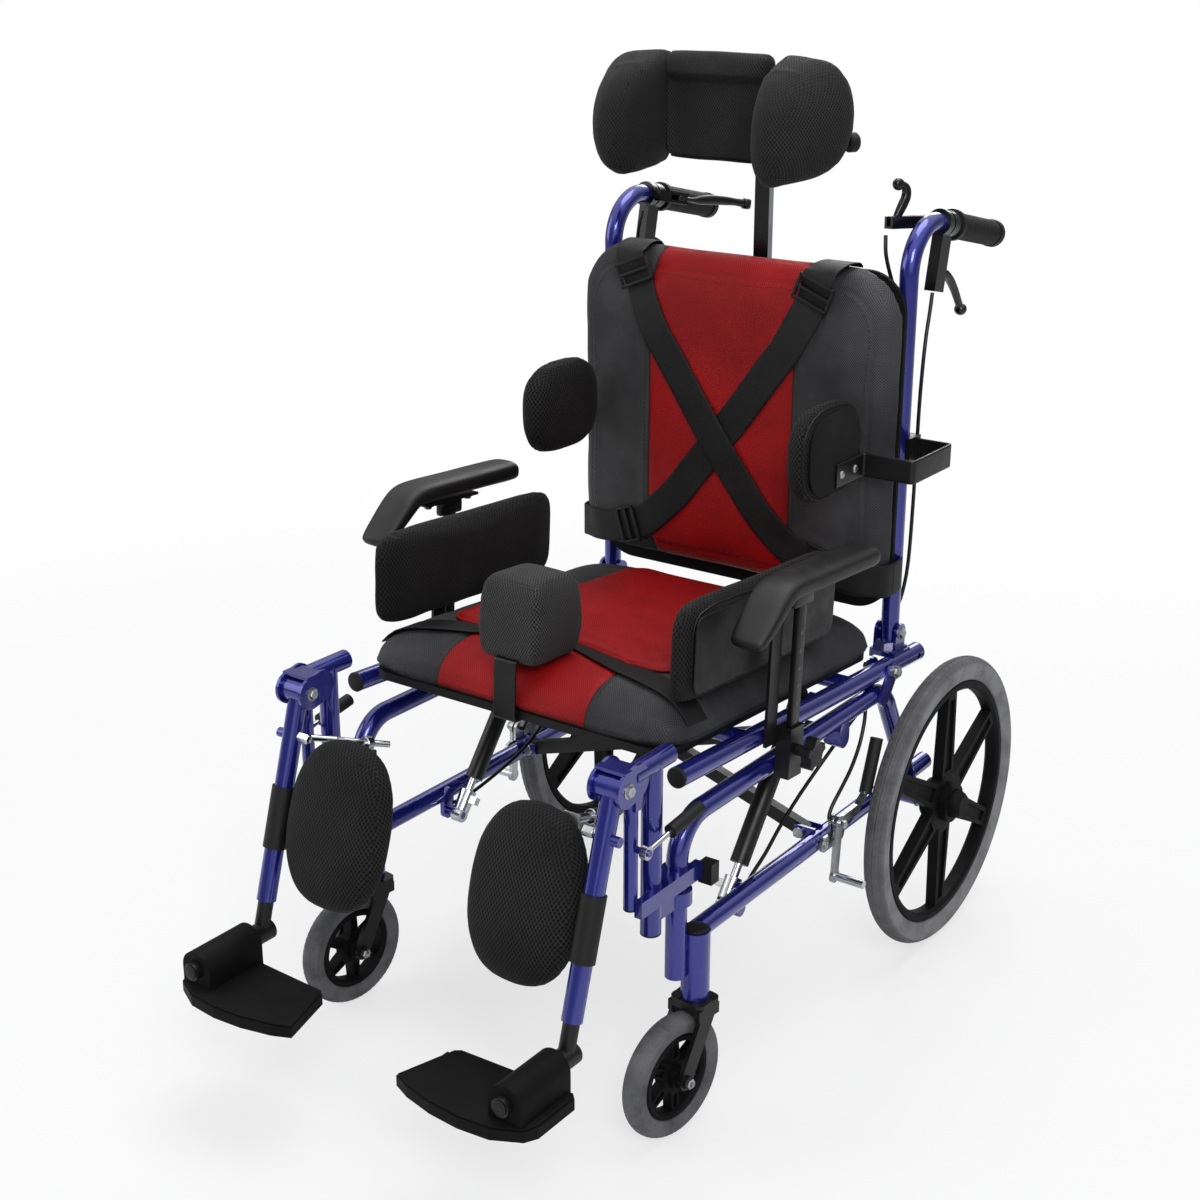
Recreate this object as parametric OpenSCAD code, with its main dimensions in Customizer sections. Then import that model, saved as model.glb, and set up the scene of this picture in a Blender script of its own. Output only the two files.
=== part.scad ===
// Tilt-in-space wheelchair. Millimetres, +Z up, the chair faces -Y.
// The origin lies on the floor, in the middle of the footprint box.

/* [Side frames] */
// How far the side frames stand outside the seat cushion
frame_out = 11; // [8:0.5:14]
// Outside diameter of the frame tubes
tube_d = 25; // [23:0.5:26]
// Height of the upper rail
upper_rail_z = 393; // [385:1:400]
// Height of the lower rail
lower_rail_z = 238; // [232:1:250]
// Where the front post stands
post_y = -235; // [-240:1:-232]
// Height of the open lower end of the front post
post_bottom_z = 198; // [185:1:210]
// Bend radius between post and upper rail
front_bend_r = 50; // [45:1:55]
// Bend radius between upper rail and rear leg
rear_bend_r = 50; // [45:1:55]
// Slope of the rear leg below level, in degrees
rear_leg_angle = 61; // [58:1:64]
// Rear end of the lower rail
lower_rail_end_y = 392; // [385:1:400]
// Bore of the anti-tipper socket
socket_bore_d = 19.2; // [16:0.2:20]
// Depth of the anti-tipper socket
socket_depth = 34; // [20:1:36]

/* [Rear wheels] */
// Outside diameter of the rear tyres
rear_wheel_d = 406; // [400:1:412]
// Width of the rear tyres
rear_tyre_w = 30; // [26:1:32]
// Diameter at which tyre and rim meet
rear_rim_d = 343; // [330:1:350]
// How far the rear wheels stand outside the side frames
rear_wheel_out = 46; // [44:1:52]
// Position of the rear axle
axle_y = 358; // [352:1:364]
// Diameter of the rear axle bolts
axle_d = 12; // [10:0.5:14]
// Number of spokes of every wheel
spoke_count = 6; // [5:1:7]

/* [Casters] */
// Outside diameter of the caster tyres
caster_d = 154; // [150:1:156]
// Width of the caster tyres
caster_tyre_w = 28; // [24:1:30]
// Diameter at which caster tyre and rim meet
caster_rim_d = 107; // [100:1:112]
// How far the caster stems stand outside the side frames
caster_out = 12; // [8:1:16]
// Position of the caster stems
caster_y = -211; // [-214:1:-208]
// Trail between stem and wheel axle
caster_trail = 41; // [36:1:44]
// How far the casters are turned at rest, in degrees
caster_yaw = 7; // [0:1:20]
// Diameter of the caster stem
stem_d = 16; // [14:0.5:18]

/* [Seat] */
// Position of the tilt pivot
tilt_y = 250; // [246:1:254]
// Height of the tilt pivot
tilt_z = 421.5; // [419:0.5:426]
// Slope of the seat at rest, in degrees
seat_rake = 3.4; // [2:0.1:4]
// Width of the seat cushion
seat_w = 458; // [440:2:464]
// Thickness of the seat cushion
seat_cushion_h = 60; // [55:1:62]
// Width of the red panel of seat and back
panel_w = 220; // [180:2:240]
// Height of the arm pads above the tilt pivot
arm_pad_rise = 208.5; // [200:0.5:215]
// How much higher the right arm pad is set
arm_pad_step = 15; // [0:1:30]

/* [Back] */
// How far the back tubes stand inside the side frames
back_tube_in = 15; // [12:1:18]
// Diameter of the back tubes
back_tube_d = 24; // [22:0.5:25]
// Rise of the recline pivot above the tilt pivot
recline_rise = 39; // [38:0.5:44]
// Recline pivot behind the tilt pivot
recline_back = 43; // [41:0.5:46]
// Height at which the back tubes start to bend into the handles
handle_bend_z = 928; // [900:1:940]
// Bend radius of the handles
handle_bend_r = 60; // [50:1:64]
// Bend angle of the handles, in degrees
handle_bend_angle = 102; // [90:1:110]
// How much wider the back cushion is than the seat cushion
back_extra_w = 18; // [10:1:22]
// Thickness of the back cushion
back_cushion_t = 64; // [60:1:66]
// Top of the back cushion
back_top_z = 940; // [920:1:945]
// Width of the harness webbing
strap_w = 46; // [38:1:50]

/* [Headrest] */
// Height of the middle of the headrest
head_z = 1128; // [1115:1:1150]
// Width of the headrest post
head_post_w = 22; // [18:1:26]
// Thickness of the headrest post
head_post_t = 11; // [8:0.5:12]

/* [Leg rests] */
// How far the leg tubes stand inside the side frames
leg_in = 10; // [8:1:12]
// Position of the knee pivot
knee_y = -346; // [-350:1:-342]
// Height of the knee pivot
knee_z = 478; // [474:1:482]
// Slope of the leg tube from upright, in degrees
leg_angle = 17; // [14:1:19]
// Length of the leg tube below the knee
leg_len = 260; // [250:1:270]
// Diameter of the leg tube
leg_tube_d = 24; // [22:0.5:25]
// How far the foot tube stands out of the leg tube, down to the footplate spindle
foot_out = 41.2; // [38:0.2:60]
// Thickness of the footplates
footplate_t = 13; // [10:1:16]

/* [Gas springs] */
// How far the gas springs stand inside the side frames
gas_in = 30; // [29:1:33]
// Diameter of the gas spring cylinders
gas_cylinder_d = 24; // [20:1:25]
// Diameter of the gas spring rods
gas_rod_d = 10; // [8:0.5:12]

/* [Hidden] */
$fn = 48;

// Colours
blue = [0.15, 0.17, 0.50];
red = [0.60, 0.13, 0.14];
grey = [0.24, 0.25, 0.26];
black = [0.09, 0.09, 0.10];
chrome = [0.75, 0.76, 0.78];
tyre_grey = [0.45, 0.45, 0.46];

// Clearances and one overrun for every cut
running_gap = 0.05;
touch_gap = 0.3;
plate_gap = 0.5;
weld = 1;
joint_step = 0.15;
over = 2;

// Frame
rail_x = seat_w / 2 + frame_out;
rear_wheel_x = rail_x + rear_wheel_out;
caster_x = rail_x + caster_out;
back_tube_x = rail_x - back_tube_in;
back_w = seat_w + back_extra_w;
leg_x = rail_x - leg_in;
gas_x = rail_x - gas_in;
tube_r = tube_d / 2;
axle_r = axle_d / 2;
axle_z = rear_wheel_d / 2;
post_len = upper_rail_z - front_bend_r - post_bottom_z;
rear_leg_len = (upper_rail_z - rear_bend_r * (1 - cos(rear_leg_angle)) - axle_z) / sin(rear_leg_angle);
rail_end_y = axle_y - rear_leg_len * cos(rear_leg_angle) - rear_bend_r * sin(rear_leg_angle);
rail_start_y = post_y + front_bend_r;
housing_r = 17;
housing_bottom_z = 165;
housing_top_z = lower_rail_z + 14;
stem_r = stem_d / 2;
axle_boss_r = 17;
axle_boss_in = 16;
ear_t = 4;
ear_w = 26;
ear_x = rail_x + tube_r + plate_gap;
ear_in_x = rail_x - tube_r - plate_gap - ear_t;
ear_boss_r = 9;
pivot_bolt_r = 5;
bolt_head_r = 9;
bolt_head_t = 5;
brace_y = 95;
brace_h = 22;
brace_t = 14;
brace_pin_x = rail_x - tube_r - 9;
brace_pin_r = 4;
brace_low_z = lower_rail_z + 8;
brace_high_z = upper_rail_z - 10;
stop_lug_y = 131;
stop_lug_drop = 26;
stop_lug_r = 12;

// Gas springs and their lugs
gas_low_y = -82;
gas_low_z = lower_rail_z - 24;
gas_top_y = 88;
gas_top_z = tilt_z + 9.5;
gas_dy = gas_top_y - gas_low_y;
gas_dz = gas_top_z - gas_low_z;
gas_len = norm([gas_dy, gas_dz]);
gas_angle = atan2(gas_dy, gas_dz);
gas_eye_r = 10;
gas_head_len = 34;
gas_cylinder_len = gas_len - gas_head_len - 24;
lug_t = 7;

// Wheel locks
lock_y = 106;
lock_z = 262;
lock_x = rail_x + 22;
lock_t = 5;
lock_arm = 73;
lock_shoe_r = 5.5;
lock_plate_t = 4;
lock_grip_r = 8.4;

// Seat, measured before the rake is applied
rail_front_y = -238;
rail_rear_y = 346;
board_t = 10;
board_z = tilt_z + tube_r;
cushion_z = board_z + board_t + touch_gap;
seat_front_y = -238;
seat_rear_y = 256;
seat_tube_r = 10;
seat_tube_ys = [-92, 160];
hinge_y = tilt_y + recline_back;
hinge_z = tilt_z + recline_rise;
hinge_t = 4;
hip_x = rail_x - 43;
hip_t = 38;
hip_front_y = -222;
hip_rear_y = 125;
hip_h = 104;
hip_z = cushion_z + seat_cushion_h + 3;
arm_y = -30;
arm_post_t = 8;
arm_post_w = 18;
arm_slot_gap = 0.1;
arm_socket_x = rail_x + tube_r + 0.7;
arm_post_x = arm_socket_x + 8.8;
arm_socket_bottom_z = tilt_z - 55.5;
arm_socket_top_z = tilt_z + 8.5;
arm_top_z = tilt_z + arm_pad_rise;
arm_pad_x = rail_x + 10;
arm_pad_w = 51;
arm_pad_t = 27;
arm_pad_rear_y = 102;
arm_pad_bend_y = -108;
arm_pad_drop = [-62, -52];
pommel_w = 92;
pommel_d = 93;
pommel_h = 100;
pommel_out = 5;
pommel_plate_t = 2.7;
pommel_z = cushion_z + seat_cushion_h + touch_gap + pommel_plate_t + touch_gap;
pommel_bar_w = 32;
pommel_bar_t = 3;
pommel_bar_foot = 110;
pommel_bar_end = 12;
belt_w = 40;
belt_t = 2.4;
belt_end_gap = 14;
belt_y = -127;
belt_drop = 2.15;

// A point of the raked seat, as [y, z]
function raked(y, z) = [
    tilt_y + (y - tilt_y) * cos(seat_rake) + (z - tilt_z) * sin(seat_rake),
    tilt_z - (y - tilt_y) * sin(seat_rake) + (z - tilt_z) * cos(seat_rake)
];
recline_pivot = raked(hinge_y, hinge_z);

// Back, upright at rest
back_y = recline_pivot[0];
back_z = recline_pivot[1];
back_tube_r = back_tube_d / 2;
handle_len = 165;
back_board_t = 6;
back_board_y = back_y - back_tube_r - touch_gap - back_board_t;
back_front_y = back_board_y - touch_gap - back_cushion_t;
back_bottom_z = 513;
board_side = 6;
board_corner_r = 55;
crossbar_r = 9;
crossbar_low_z = 560;
crossbar_high_z = 860;
head_post_y = back_y + 21;
head_socket_h = 60;
grip_start = 38;
grip_r = 16;
strap_t = 2.4;
clamp_r = 17;
lever_body_t = 15;
lever_slot_t = 7;
lever_pin_r = 2.5;
release_len_left = 64;
release_len_right = 46;
brake_drop = 60;
release_start = [-back_tube_r - 9, 0, 8];
release_angle = 20;
release_droop = 8;
lateral_z = 705;
lateral_x = rail_x - 63;
lateral_t = 39;
lateral_d = 146;
lateral_h = 122;
lateral_bar_h = 30;
lateral_bar_t = 4;
lateral_out_x = rail_x + 50;
lateral_bar_y = back_y + back_tube_r + 4;

// Hangers, legs and feet
hanger_gap = 50;
hanger_r = 12;
hanger_y = post_y - hanger_gap;
hanger_bottom_z = 280;
ratchet_y = hanger_y - 42;
ratchet_r = 8;
ratchet_bottom_z = 328;
collar_r = 18;
collar_low_z = 294;
collar_high_z = 320;
collar_h = 20;
link_t = 9;
knee_box_w = 41;
knee_cheek_t = 4;
knee_r = 15;
knee_pin_r = 5;
leg_r = leg_tube_d / 2;
calf_x = leg_x - 90;
calf_w = 150;
calf_h = 205;
calf_t = 46;
calf_s = 144;
foot_tube_r = 9.5;
foot_front_y = -540;
foot_rear_y = -454;
foot_barrel_r = 22;
foot_spindle_r = 7;
leg_lever_z = 401;

// Where the leg tube ends, and where it would meet the footplate spindle, as [y, z]
leg_dir = [-sin(leg_angle), -cos(leg_angle)];
foot_s = leg_len + foot_out;
foot_z = knee_z - foot_s * cos(leg_angle);
foot_joint_y = knee_y + leg_dir[0] * foot_s;

// Helpers

// A copy on the left for side 1, mirrored to the right for side -1
module on_side(side) {
    if (side > 0) children();
    else mirror([1, 0, 0]) children();
}

module both_sides() {
    on_side(1) children();
    on_side(-1) children();
}

// Turns the seat's level drawing to its slope at rest
module rake() {
    translate([0, tilt_y, tilt_z]) rotate([-seat_rake, 0, 0]) translate([0, -tilt_y, -tilt_z])
        children();
}

// Round bar between two points
module rod(p, q, r) {
    d = q - p;
    translate(p) rotate([0, acos(d[2] / norm(d)), atan2(d[1], d[0])]) cylinder(h = norm(d), r = r);
}

// Round bar along X from x0 to x1
module pin_x(x0, x1, y, z, r) {
    translate([x0, y, z]) rotate([0, 90, 0]) cylinder(h = x1 - x0, r = r);
}

// Box between two corners
module block(p, q) {
    translate(p) cube(q - p);
}

// Bent tube: each step is [length] or [bend radius, angle], bending towards local +Y.
// Straight lengths reach a little way into the bends, which are a trace thicker.
module run(steps, r, i = 0) {
    if (i < len(steps)) {
        step = steps[i];
        if (len(step) == 1) {
            low = i == 0 ? 0 : weld;
            high = i == len(steps) - 1 ? 0 : weld;
            translate([0, 0, -low]) cylinder(h = step[0] + low + high, r = r);
            translate([0, 0, step[0]]) run(steps, r, i + 1);
        } else {
            translate([0, step[0], 0]) rotate([90, 0, -90])
                rotate_extrude(angle = step[1]) translate([step[0], 0]) circle(r = r + joint_step);
            translate([0, step[0] * (1 - cos(step[1])), step[0] * sin(step[1])])
                rotate([-step[1], 0, 0]) run(steps, r, i + 1);
        }
    }
}

// Outline in the YZ plane, extruded along X from x0 over a thickness
module plate_x(x0, t) {
    translate([x0, 0, 0]) rotate([90, 0, 90]) linear_extrude(t) children();
}

// Flat link with round ends between two points of its plane
module link2d(p, q, w) {
    d = q - p;
    translate(p) circle(d = w);
    translate(q) circle(d = w);
    translate(p) rotate(atan2(d[1], d[0])) translate([0, -w / 2]) square([norm(d), w]);
}

// Outline of a flat strip along points, tapering from width w0 to width w1, with mitred corners
function unit(v) = v / norm(v);
function left_of(v) = [-v[1], v[0]];
function strip_offset(points, i, half) = let (
    last = len(points) - 1,
    before = left_of(unit(points[max(i, 1)] - points[max(i, 1) - 1])),
    after = left_of(unit(points[min(i, last - 1) + 1] - points[min(i, last - 1)])),
    mitre = unit(before + after))
    mitre * half / (mitre * before);
module strip2d(points, w0, w1) {
    last = len(points) - 1;
    function half(i) = (w0 + (w1 - w0) * i / last) / 2;
    polygon(concat([for (i = [0:last]) points[i] + strip_offset(points, i, half(i))],
        [for (i = [last:-1:0]) points[i] - strip_offset(points, i, half(i))]));
}

// Rectangle with round corners, centred
module round_rect(w, h, r) {
    square([w - 2 * r, h], center = true);
    square([w, h - 2 * r], center = true);
    for (x = [-1, 1], y = [-1, 1]) translate([x * (w / 2 - r), y * (h / 2 - r)]) circle(r = r);
}

// Places along one side of a soft form, denser towards the edges
soft_shares = [-1, -0.9, -0.68, -0.36, 0, 0.36, 0.68, 0.9, 1];

// Padded form, centred on X and Y, from z = 0 to size z plus the crown. Corners are rounded by
// the exponent n, the sides are drawn in between the corners, and channels run along Y at the
// places of the list, as shares of the half width.
module soft_form(size, n, crown, pull = 0, channels = [], depth = 0, lip = 0.34, xs = soft_shares) {
    ys = soft_shares;
    nx = len(xs);
    ny = len(ys);
    function fit(u, v) = let (m = max(abs(u), abs(v))) m == 0 ? 1 : m / pow(pow(abs(u), n) + pow(abs(v), n), 1 / n);
    function flat(u, v) = let (q = fit(u, v)) [
        size[0] / 2 * u * q * (1 - pull * (1 - v * v)),
        size[1] / 2 * v * q * (1 - pull * (1 - u * u))
    ];
    function groove(u) = len([for (c = channels) if (abs(u - c) < 0.01) c]) > 0 ? depth : 0;
    function rise(u, v) = pow(max(0, 1 - pow(max(abs(u), abs(v)), 5)), 0.5);
    function top_z(u, v) = size[2] * (1 - lip) + (size[2] * lip - groove(u)) * rise(u, v)
        + crown * (1 - u * u) * (1 - v * v);
    function low_z(u, v) = size[2] * lip * (1 - rise(u, v));
    function rim(i, j) = i == 0 || j == 0 || i == nx - 1 || j == ny - 1;
    top = [for (j = [0:ny - 1], i = [0:nx - 1]) concat(flat(xs[i], ys[j]), [top_z(xs[i], ys[j])])];
    low = [for (j = [0:ny - 1], i = [0:nx - 1]) concat(flat(xs[i], ys[j]), [low_z(xs[i], ys[j])])];
    m = nx * ny;
    top_faces = [for (j = [0:ny - 2], i = [0:nx - 2], t = [0, 1]) let (a = j * nx + i)
        t == 0 ? [a, a + nx, a + nx + 1] : [a, a + nx + 1, a + 1]];
    low_faces = [for (j = [0:ny - 2], i = [0:nx - 2], t = [0, 1]) let (a = m + j * nx + i)
        t == 0 ? [a, a + 1, a + nx + 1] : [a, a + nx + 1, a + nx]];
    edge = concat([for (i = [0:nx - 2]) i], [for (j = [0:ny - 2]) j * nx + nx - 1],
        [for (i = [0:nx - 2]) (ny - 1) * nx + nx - 1 - i], [for (j = [0:ny - 2]) (ny - 1 - j) * nx]);
    k = len(edge);
    side_faces = [for (e = [0:k - 1], t = [0, 1]) let (a = edge[e], b = edge[(e + 1) % k])
        t == 0 ? [a, b, m + b] : [a, m + b, m + a]];
    polyhedron(concat(top, low), concat(top_faces, low_faces, side_faces), convexity = 4);
}

// Stack of rings: one outline, scaled towards an anchor at each height
module lofted_form(outline, anchor, heights, scales) {
    n = len(outline);
    rings = len(heights);
    points = [for (k = [0:rings - 1], p = outline) let (q = anchor + (p - anchor) * scales[k])
        [q[0], q[1], heights[k]]];
    walls = [for (k = [0:rings - 2], i = [0:n - 1], t = [0, 1])
        let (a = k * n + i, b = k * n + (i + 1) % n)
        t == 0 ? [a, a + n, b + n] : [a, b + n, b]];
    polyhedron(points, concat(walls, [[for (i = [0:n - 1]) i]],
        [[for (i = [0:n - 1]) rings * n - 1 - i]]), convexity = 4);
}

// Flat band swept along points, with its width along a fixed direction for each point
module band(points, across, w, t, out) {
    n = len(points);
    ring = [for (i = [0:n - 1]) let (a = across[i] * w / 2, o = out[i] * t)
        [points[i] - a, points[i] + a, points[i] + a + o, points[i] - a + o]];
    flat_points = [for (r = ring, p = r) p];
    walls = [for (i = [0:n - 2], k = [0:3], s = [0, 1])
        let (a = i * 4 + k, b = i * 4 + (k + 1) % 4) s == 0 ? [a, b, b + 4] : [a, b + 4, a + 4]];
    ends = [[3, 2, 1], [3, 1, 0], [4 * n - 4, 4 * n - 3, 4 * n - 2], [4 * n - 4, 4 * n - 2, 4 * n - 1]];
    polyhedron(flat_points, concat(walls, ends), convexity = 6);
}

// Points between those of a route, along a smooth curve through all of them
function smooth(route, parts) = let (n = len(route)) concat(
    [for (i = [0:n - 2], k = [0:parts - 1]) let (
        t = k / parts, p = route[i], q = route[i + 1],
        before = i == 0 ? 2 * p - q : route[i - 1],
        after = i == n - 2 ? 2 * q - p : route[i + 2])
        0.5 * (2 * p + t * (q - before) + t * t * (2 * before - 5 * p + 4 * q - after)
            + t * t * t * (3 * p - before - 3 * q + after))],
    [route[n - 1]]);

// Round cable swept along its own points
module cable(stops, r, sides = 8) {
    route = smooth(stops, 3);
    n = len(route);
    function dir(i) = let (d = route[min(i + 1, n - 1)] - route[max(i - 1, 0)]) d / norm(d);
    function side_of(d) = let (c = abs(d[0]) < 0.8 ? cross(d, [1, 0, 0]) : cross(d, [0, 1, 0])) c / norm(c);
    points = [for (i = [0:n - 1]) let (d = dir(i), u = side_of(d), v = cross(d, u))
        for (k = [0:sides - 1]) route[i] + r * (u * cos(360 * k / sides) + v * sin(360 * k / sides))];
    walls = [for (i = [0:n - 2], k = [0:sides - 1], t = [0, 1])
        let (a = i * sides + k, b = i * sides + (k + 1) % sides)
        t == 0 ? [a, b + sides, b] : [a, a + sides, b + sides]];
    polyhedron(points, concat(walls, [[for (k = [0:sides - 1]) k]],
        [[for (k = [0:sides - 1]) n * sides - 1 - k]]), convexity = 6);
}

// Base

module side_frame() {
    color(blue) difference() {
        union() {
            translate([rail_x, post_y, post_bottom_z])
                run([[post_len], [front_bend_r, 90], [rail_end_y - rail_start_y],
                    [rear_bend_r, rear_leg_angle], [rear_leg_len]], tube_r);
            rod([rail_x, post_y, lower_rail_z], [rail_x, lower_rail_end_y, lower_rail_z], tube_r - joint_step);
            translate([caster_x, caster_y, housing_bottom_z])
                cylinder(h = housing_top_z - housing_bottom_z, r = housing_r);
            pin_x(rail_x - axle_boss_in, rear_wheel_x - rear_tyre_w / 2 - 9, axle_y, axle_z, axle_boss_r);
            tilt_ears();
            brace_lugs();
            stop_lug();
            gas_low_lug();
        }
        translate([caster_x, caster_y, housing_bottom_z - over])
            cylinder(h = housing_top_z - housing_bottom_z + 2 * over, r = stem_r + running_gap);
        pin_x(rail_x - axle_boss_in - over, rear_wheel_x, axle_y, axle_z, axle_r + running_gap);
        pin_x(ear_in_x - over, ear_x + ear_t + over, tilt_y, tilt_z, pivot_bolt_r + running_gap);
        for (z = [brace_low_z, brace_high_z]) brace_pin(brace_pin_x, z, 30, brace_pin_r + running_gap);
        translate([rail_x, lower_rail_end_y + over, lower_rail_z]) rotate([90, 0, 0])
            cylinder(h = socket_depth + over, d = socket_bore_d);
        translate([rail_x, post_y, post_bottom_z - over]) cylinder(h = 20 + over, r = tube_r - 2);
    }
}

// Two ears on a cross pin that carry the tilt pivot
module tilt_ears() {
    low = [rail_end_y + 6, upper_rail_z];
    for (x = [ear_in_x, ear_x]) plate_x(x, ear_t) link2d(low, [tilt_y, tilt_z], ear_w);
    pin_x(ear_in_x, ear_x + ear_t, low[0], low[1], ear_boss_r);
}

// Clevises on both rails for the cross brace
module brace_lugs() {
    gap = brace_t / 2 + touch_gap;
    for (y = [brace_y - gap - ear_t, brace_y + gap]) {
        block([brace_pin_x - 9, y, brace_low_z - 9], [rail_x, y + ear_t, brace_low_z + 9]);
        block([brace_pin_x - 9, y, brace_high_z - 9], [rail_x, y + ear_t, brace_high_z + 9]);
    }
}

// Round stop lug below the upper rail
module stop_lug() {
    plate_x(rail_x - stop_lug_r, 2 * stop_lug_r)
        link2d([stop_lug_y, upper_rail_z - tube_r], [stop_lug_y, upper_rail_z - stop_lug_drop], 2 * stop_lug_r);
}

// Lug that carries the lower gas spring pin
module gas_low_lug() {
    plate_x(rail_x - tube_r, lug_t) link2d([gas_low_y, lower_rail_z], [gas_low_y, gas_low_z], 20);
    pin_x(gas_x - 7, rail_x - tube_r, gas_low_y, gas_low_z, pivot_bolt_r);
}

module side_frame_left() { on_side(1) side_frame(); }
module side_frame_right() { on_side(-1) side_frame(); }

// Pin along Y through the cross brace, from its middle to both sides
module brace_pin(x, z, half, r) {
    translate([x, brace_y + half, z]) rotate([90, 0, 0]) cylinder(h = 2 * half, r = r);
}

// Two crossed bars under the seat, half lapped, and the bolts that hold them
module cross_brace() {
    rise = brace_high_z - brace_low_z;
    angle = atan2(rise, 2 * brace_pin_x);
    middle_z = (brace_low_z + brace_high_z) / 2;
    half_lap = running_gap / 2;
    color(black) for (s = [1, -1]) on_side(s) difference() {
        translate([0, brace_y, middle_z]) rotate([0, angle, 0])
            cube([norm([2 * brace_pin_x, rise]) + 14, brace_t, brace_h - 4], center = true);
        block([-36, brace_y + (s > 0 ? -half_lap : -brace_t), middle_z - brace_h],
            [36, brace_y + (s > 0 ? brace_t : half_lap), middle_z + brace_h]);
        brace_pin(0, middle_z, brace_t, pivot_bolt_r + running_gap);
        brace_pin(brace_pin_x, brace_low_z, brace_t, brace_pin_r + running_gap);
        brace_pin(-brace_pin_x, brace_high_z, brace_t, brace_pin_r + running_gap);
    }
    color(chrome) {
        brace_bolt(0, middle_z, brace_t / 2, pivot_bolt_r);
        for (x = [-brace_pin_x, brace_pin_x], z = [brace_low_z, brace_high_z])
            brace_bolt(x, z, brace_t / 2 + touch_gap + ear_t, brace_pin_r);
    }
}

// Bolt with a head and a nut outside the plates that it holds
module brace_bolt(x, z, half, r) {
    brace_pin(x, z, half + bolt_head_t, r);
    for (s = [-1, 1]) translate([0, s * (half + bolt_head_t / 2 + running_gap), 0])
        brace_pin(x, z, bolt_head_t / 2, r + 3);
}

// Tilt pivot bolts, one on each side
module tilt_bolts() {
    color(chrome) both_sides() {
        pin_x(ear_in_x, ear_x + ear_t, tilt_y, tilt_z, pivot_bolt_r);
        pin_x(ear_x + ear_t, ear_x + ear_t + bolt_head_t, tilt_y, tilt_z, bolt_head_r);
        pin_x(ear_in_x - bolt_head_t, ear_in_x, tilt_y, tilt_z, bolt_head_r);
    }
}

// Steel plates on the lower rails that carry the wheel locks
module lock_plates() {
    x = rail_x + tube_r;
    color(chrome) both_sides() {
        plate_x(x, lock_plate_t) union() {
            link2d([lock_y - 22, lower_rail_z], [lock_y + 18, lower_rail_z], 20);
            link2d([lock_y, lower_rail_z], [lock_y, lock_z], 20);
        }
        pin_x(x + lock_plate_t, lock_x + lock_t + 3, lock_y, lock_z, pivot_bolt_r);
        for (dy = [-22, 18]) pin_x(x + lock_plate_t, x + lock_plate_t + 2, lock_y + dy, lower_rail_z, 5);
    }
}

// Rear axle bolts with their inner heads
module rear_axles() {
    hub_end = rear_wheel_x + 20;
    color(chrome) both_sides() {
        pin_x(rail_x - axle_boss_in, hub_end, axle_y, axle_z, axle_r);
        pin_x(rail_x - axle_boss_in - 7, rail_x - axle_boss_in, axle_y, axle_z, axle_r + 4);
    }
}

// Release cables on the base, from the tilt pivots down to the gas springs and wheel locks.
// Every route's X is measured from the tube that carries the cable.
function beside(route, x) = [for (p = route) p + [x, 0, 0]];
cable_r = 2.5;
lock_cable = [[1, 206, 380], [3, 200, 362], [6, 184, 338], [8, 160, 314], [8, 134, 294],
    [6, 116, 276], [7, 108, 264], [12.5, 107, 262]];
gas_cable = [[-2, 196, 381], [-12, 184, 360], [-26, 150, 322], [-34, 104, 288], [-34, 56, 262],
    [-28, 10, 244], [-23, -32, 232], [-17.5, -58, 224.5], [-12.5, -72, 223]];
module base_cables() {
    color(black) both_sides() {
        cable(beside(gas_cable, rail_x), cable_r);
        cable(beside(lock_cable, rail_x), cable_r);
    }
}

// Plastic caps on the caster housings
module caster_caps() {
    color(black) both_sides() translate([caster_x, caster_y, housing_top_z])
        cylinder(h = 4, r1 = 14, r2 = 11);
}

// Wheels

// Spoked wheel about Z, with an I-section on every spoke
module spoked_rim(rim_r, rim_w, rim_t, hub_r, hub_w, bore_r, spoke_w, spoke_t, lip) {
    web_r = spoke_w + 5;
    rim_reach = rim_r - rim_t + 1;
    difference() {
        union() {
            rotate_extrude() polygon([
                [rim_r - rim_t, -rim_w / 2], [rim_r - 2, -rim_w / 2], [rim_r, -rim_w / 2 + 2],
                [rim_r, rim_w / 2 - 2], [rim_r - 2, rim_w / 2], [rim_r - rim_t, rim_w / 2],
                [rim_r - rim_t - lip, rim_w / 2 - lip], [rim_r - rim_t - lip, -rim_w / 2 + lip]]);
            cylinder(h = hub_w, r = hub_r, center = true);
            cylinder(h = spoke_t + 1, r = web_r, center = true);
            for (k = [0:spoke_count - 1]) rotate(k * 360 / spoke_count)
                spoke(web_r - spoke_w / 2, rim_reach, spoke_w, spoke_t);
        }
        for (k = [0:spoke_count - 1], s = [-1, 1]) rotate(k * 360 / spoke_count)
            translate([0, 0, s * spoke_t / 2])
                spoke(web_r + 4, rim_reach - lip - spoke_w / 4, spoke_w * 0.56, spoke_t / 2);
        cylinder(h = hub_w + 2 * over, r = bore_r, center = true);
    }
}

// Tapered spoke from radius a to radius b
module spoke(a, b, w, t) {
    taper_share = 0.68;
    translate([0, 0, -t / 2]) linear_extrude(t)
        polygon([[a, -w / 2], [b, -w / 2 * taper_share], [b, w / 2 * taper_share], [a, w / 2]]);
}

// Tyre about Z with a rounded tread and a flat seat
module tyre(outer_r, seat_r, w) {
    shoulder = w * 0.2;
    arc = [for (a = [-60:20:60]) [outer_r - w * 0.5 + w * 0.5 * cos(a), w / 2 * sin(a) / sin(60)]];
    rotate_extrude($fn = 96) polygon(concat([[seat_r, -w / 2 + shoulder]], arc, [[seat_r, w / 2 - shoulder]]));
}

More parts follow.
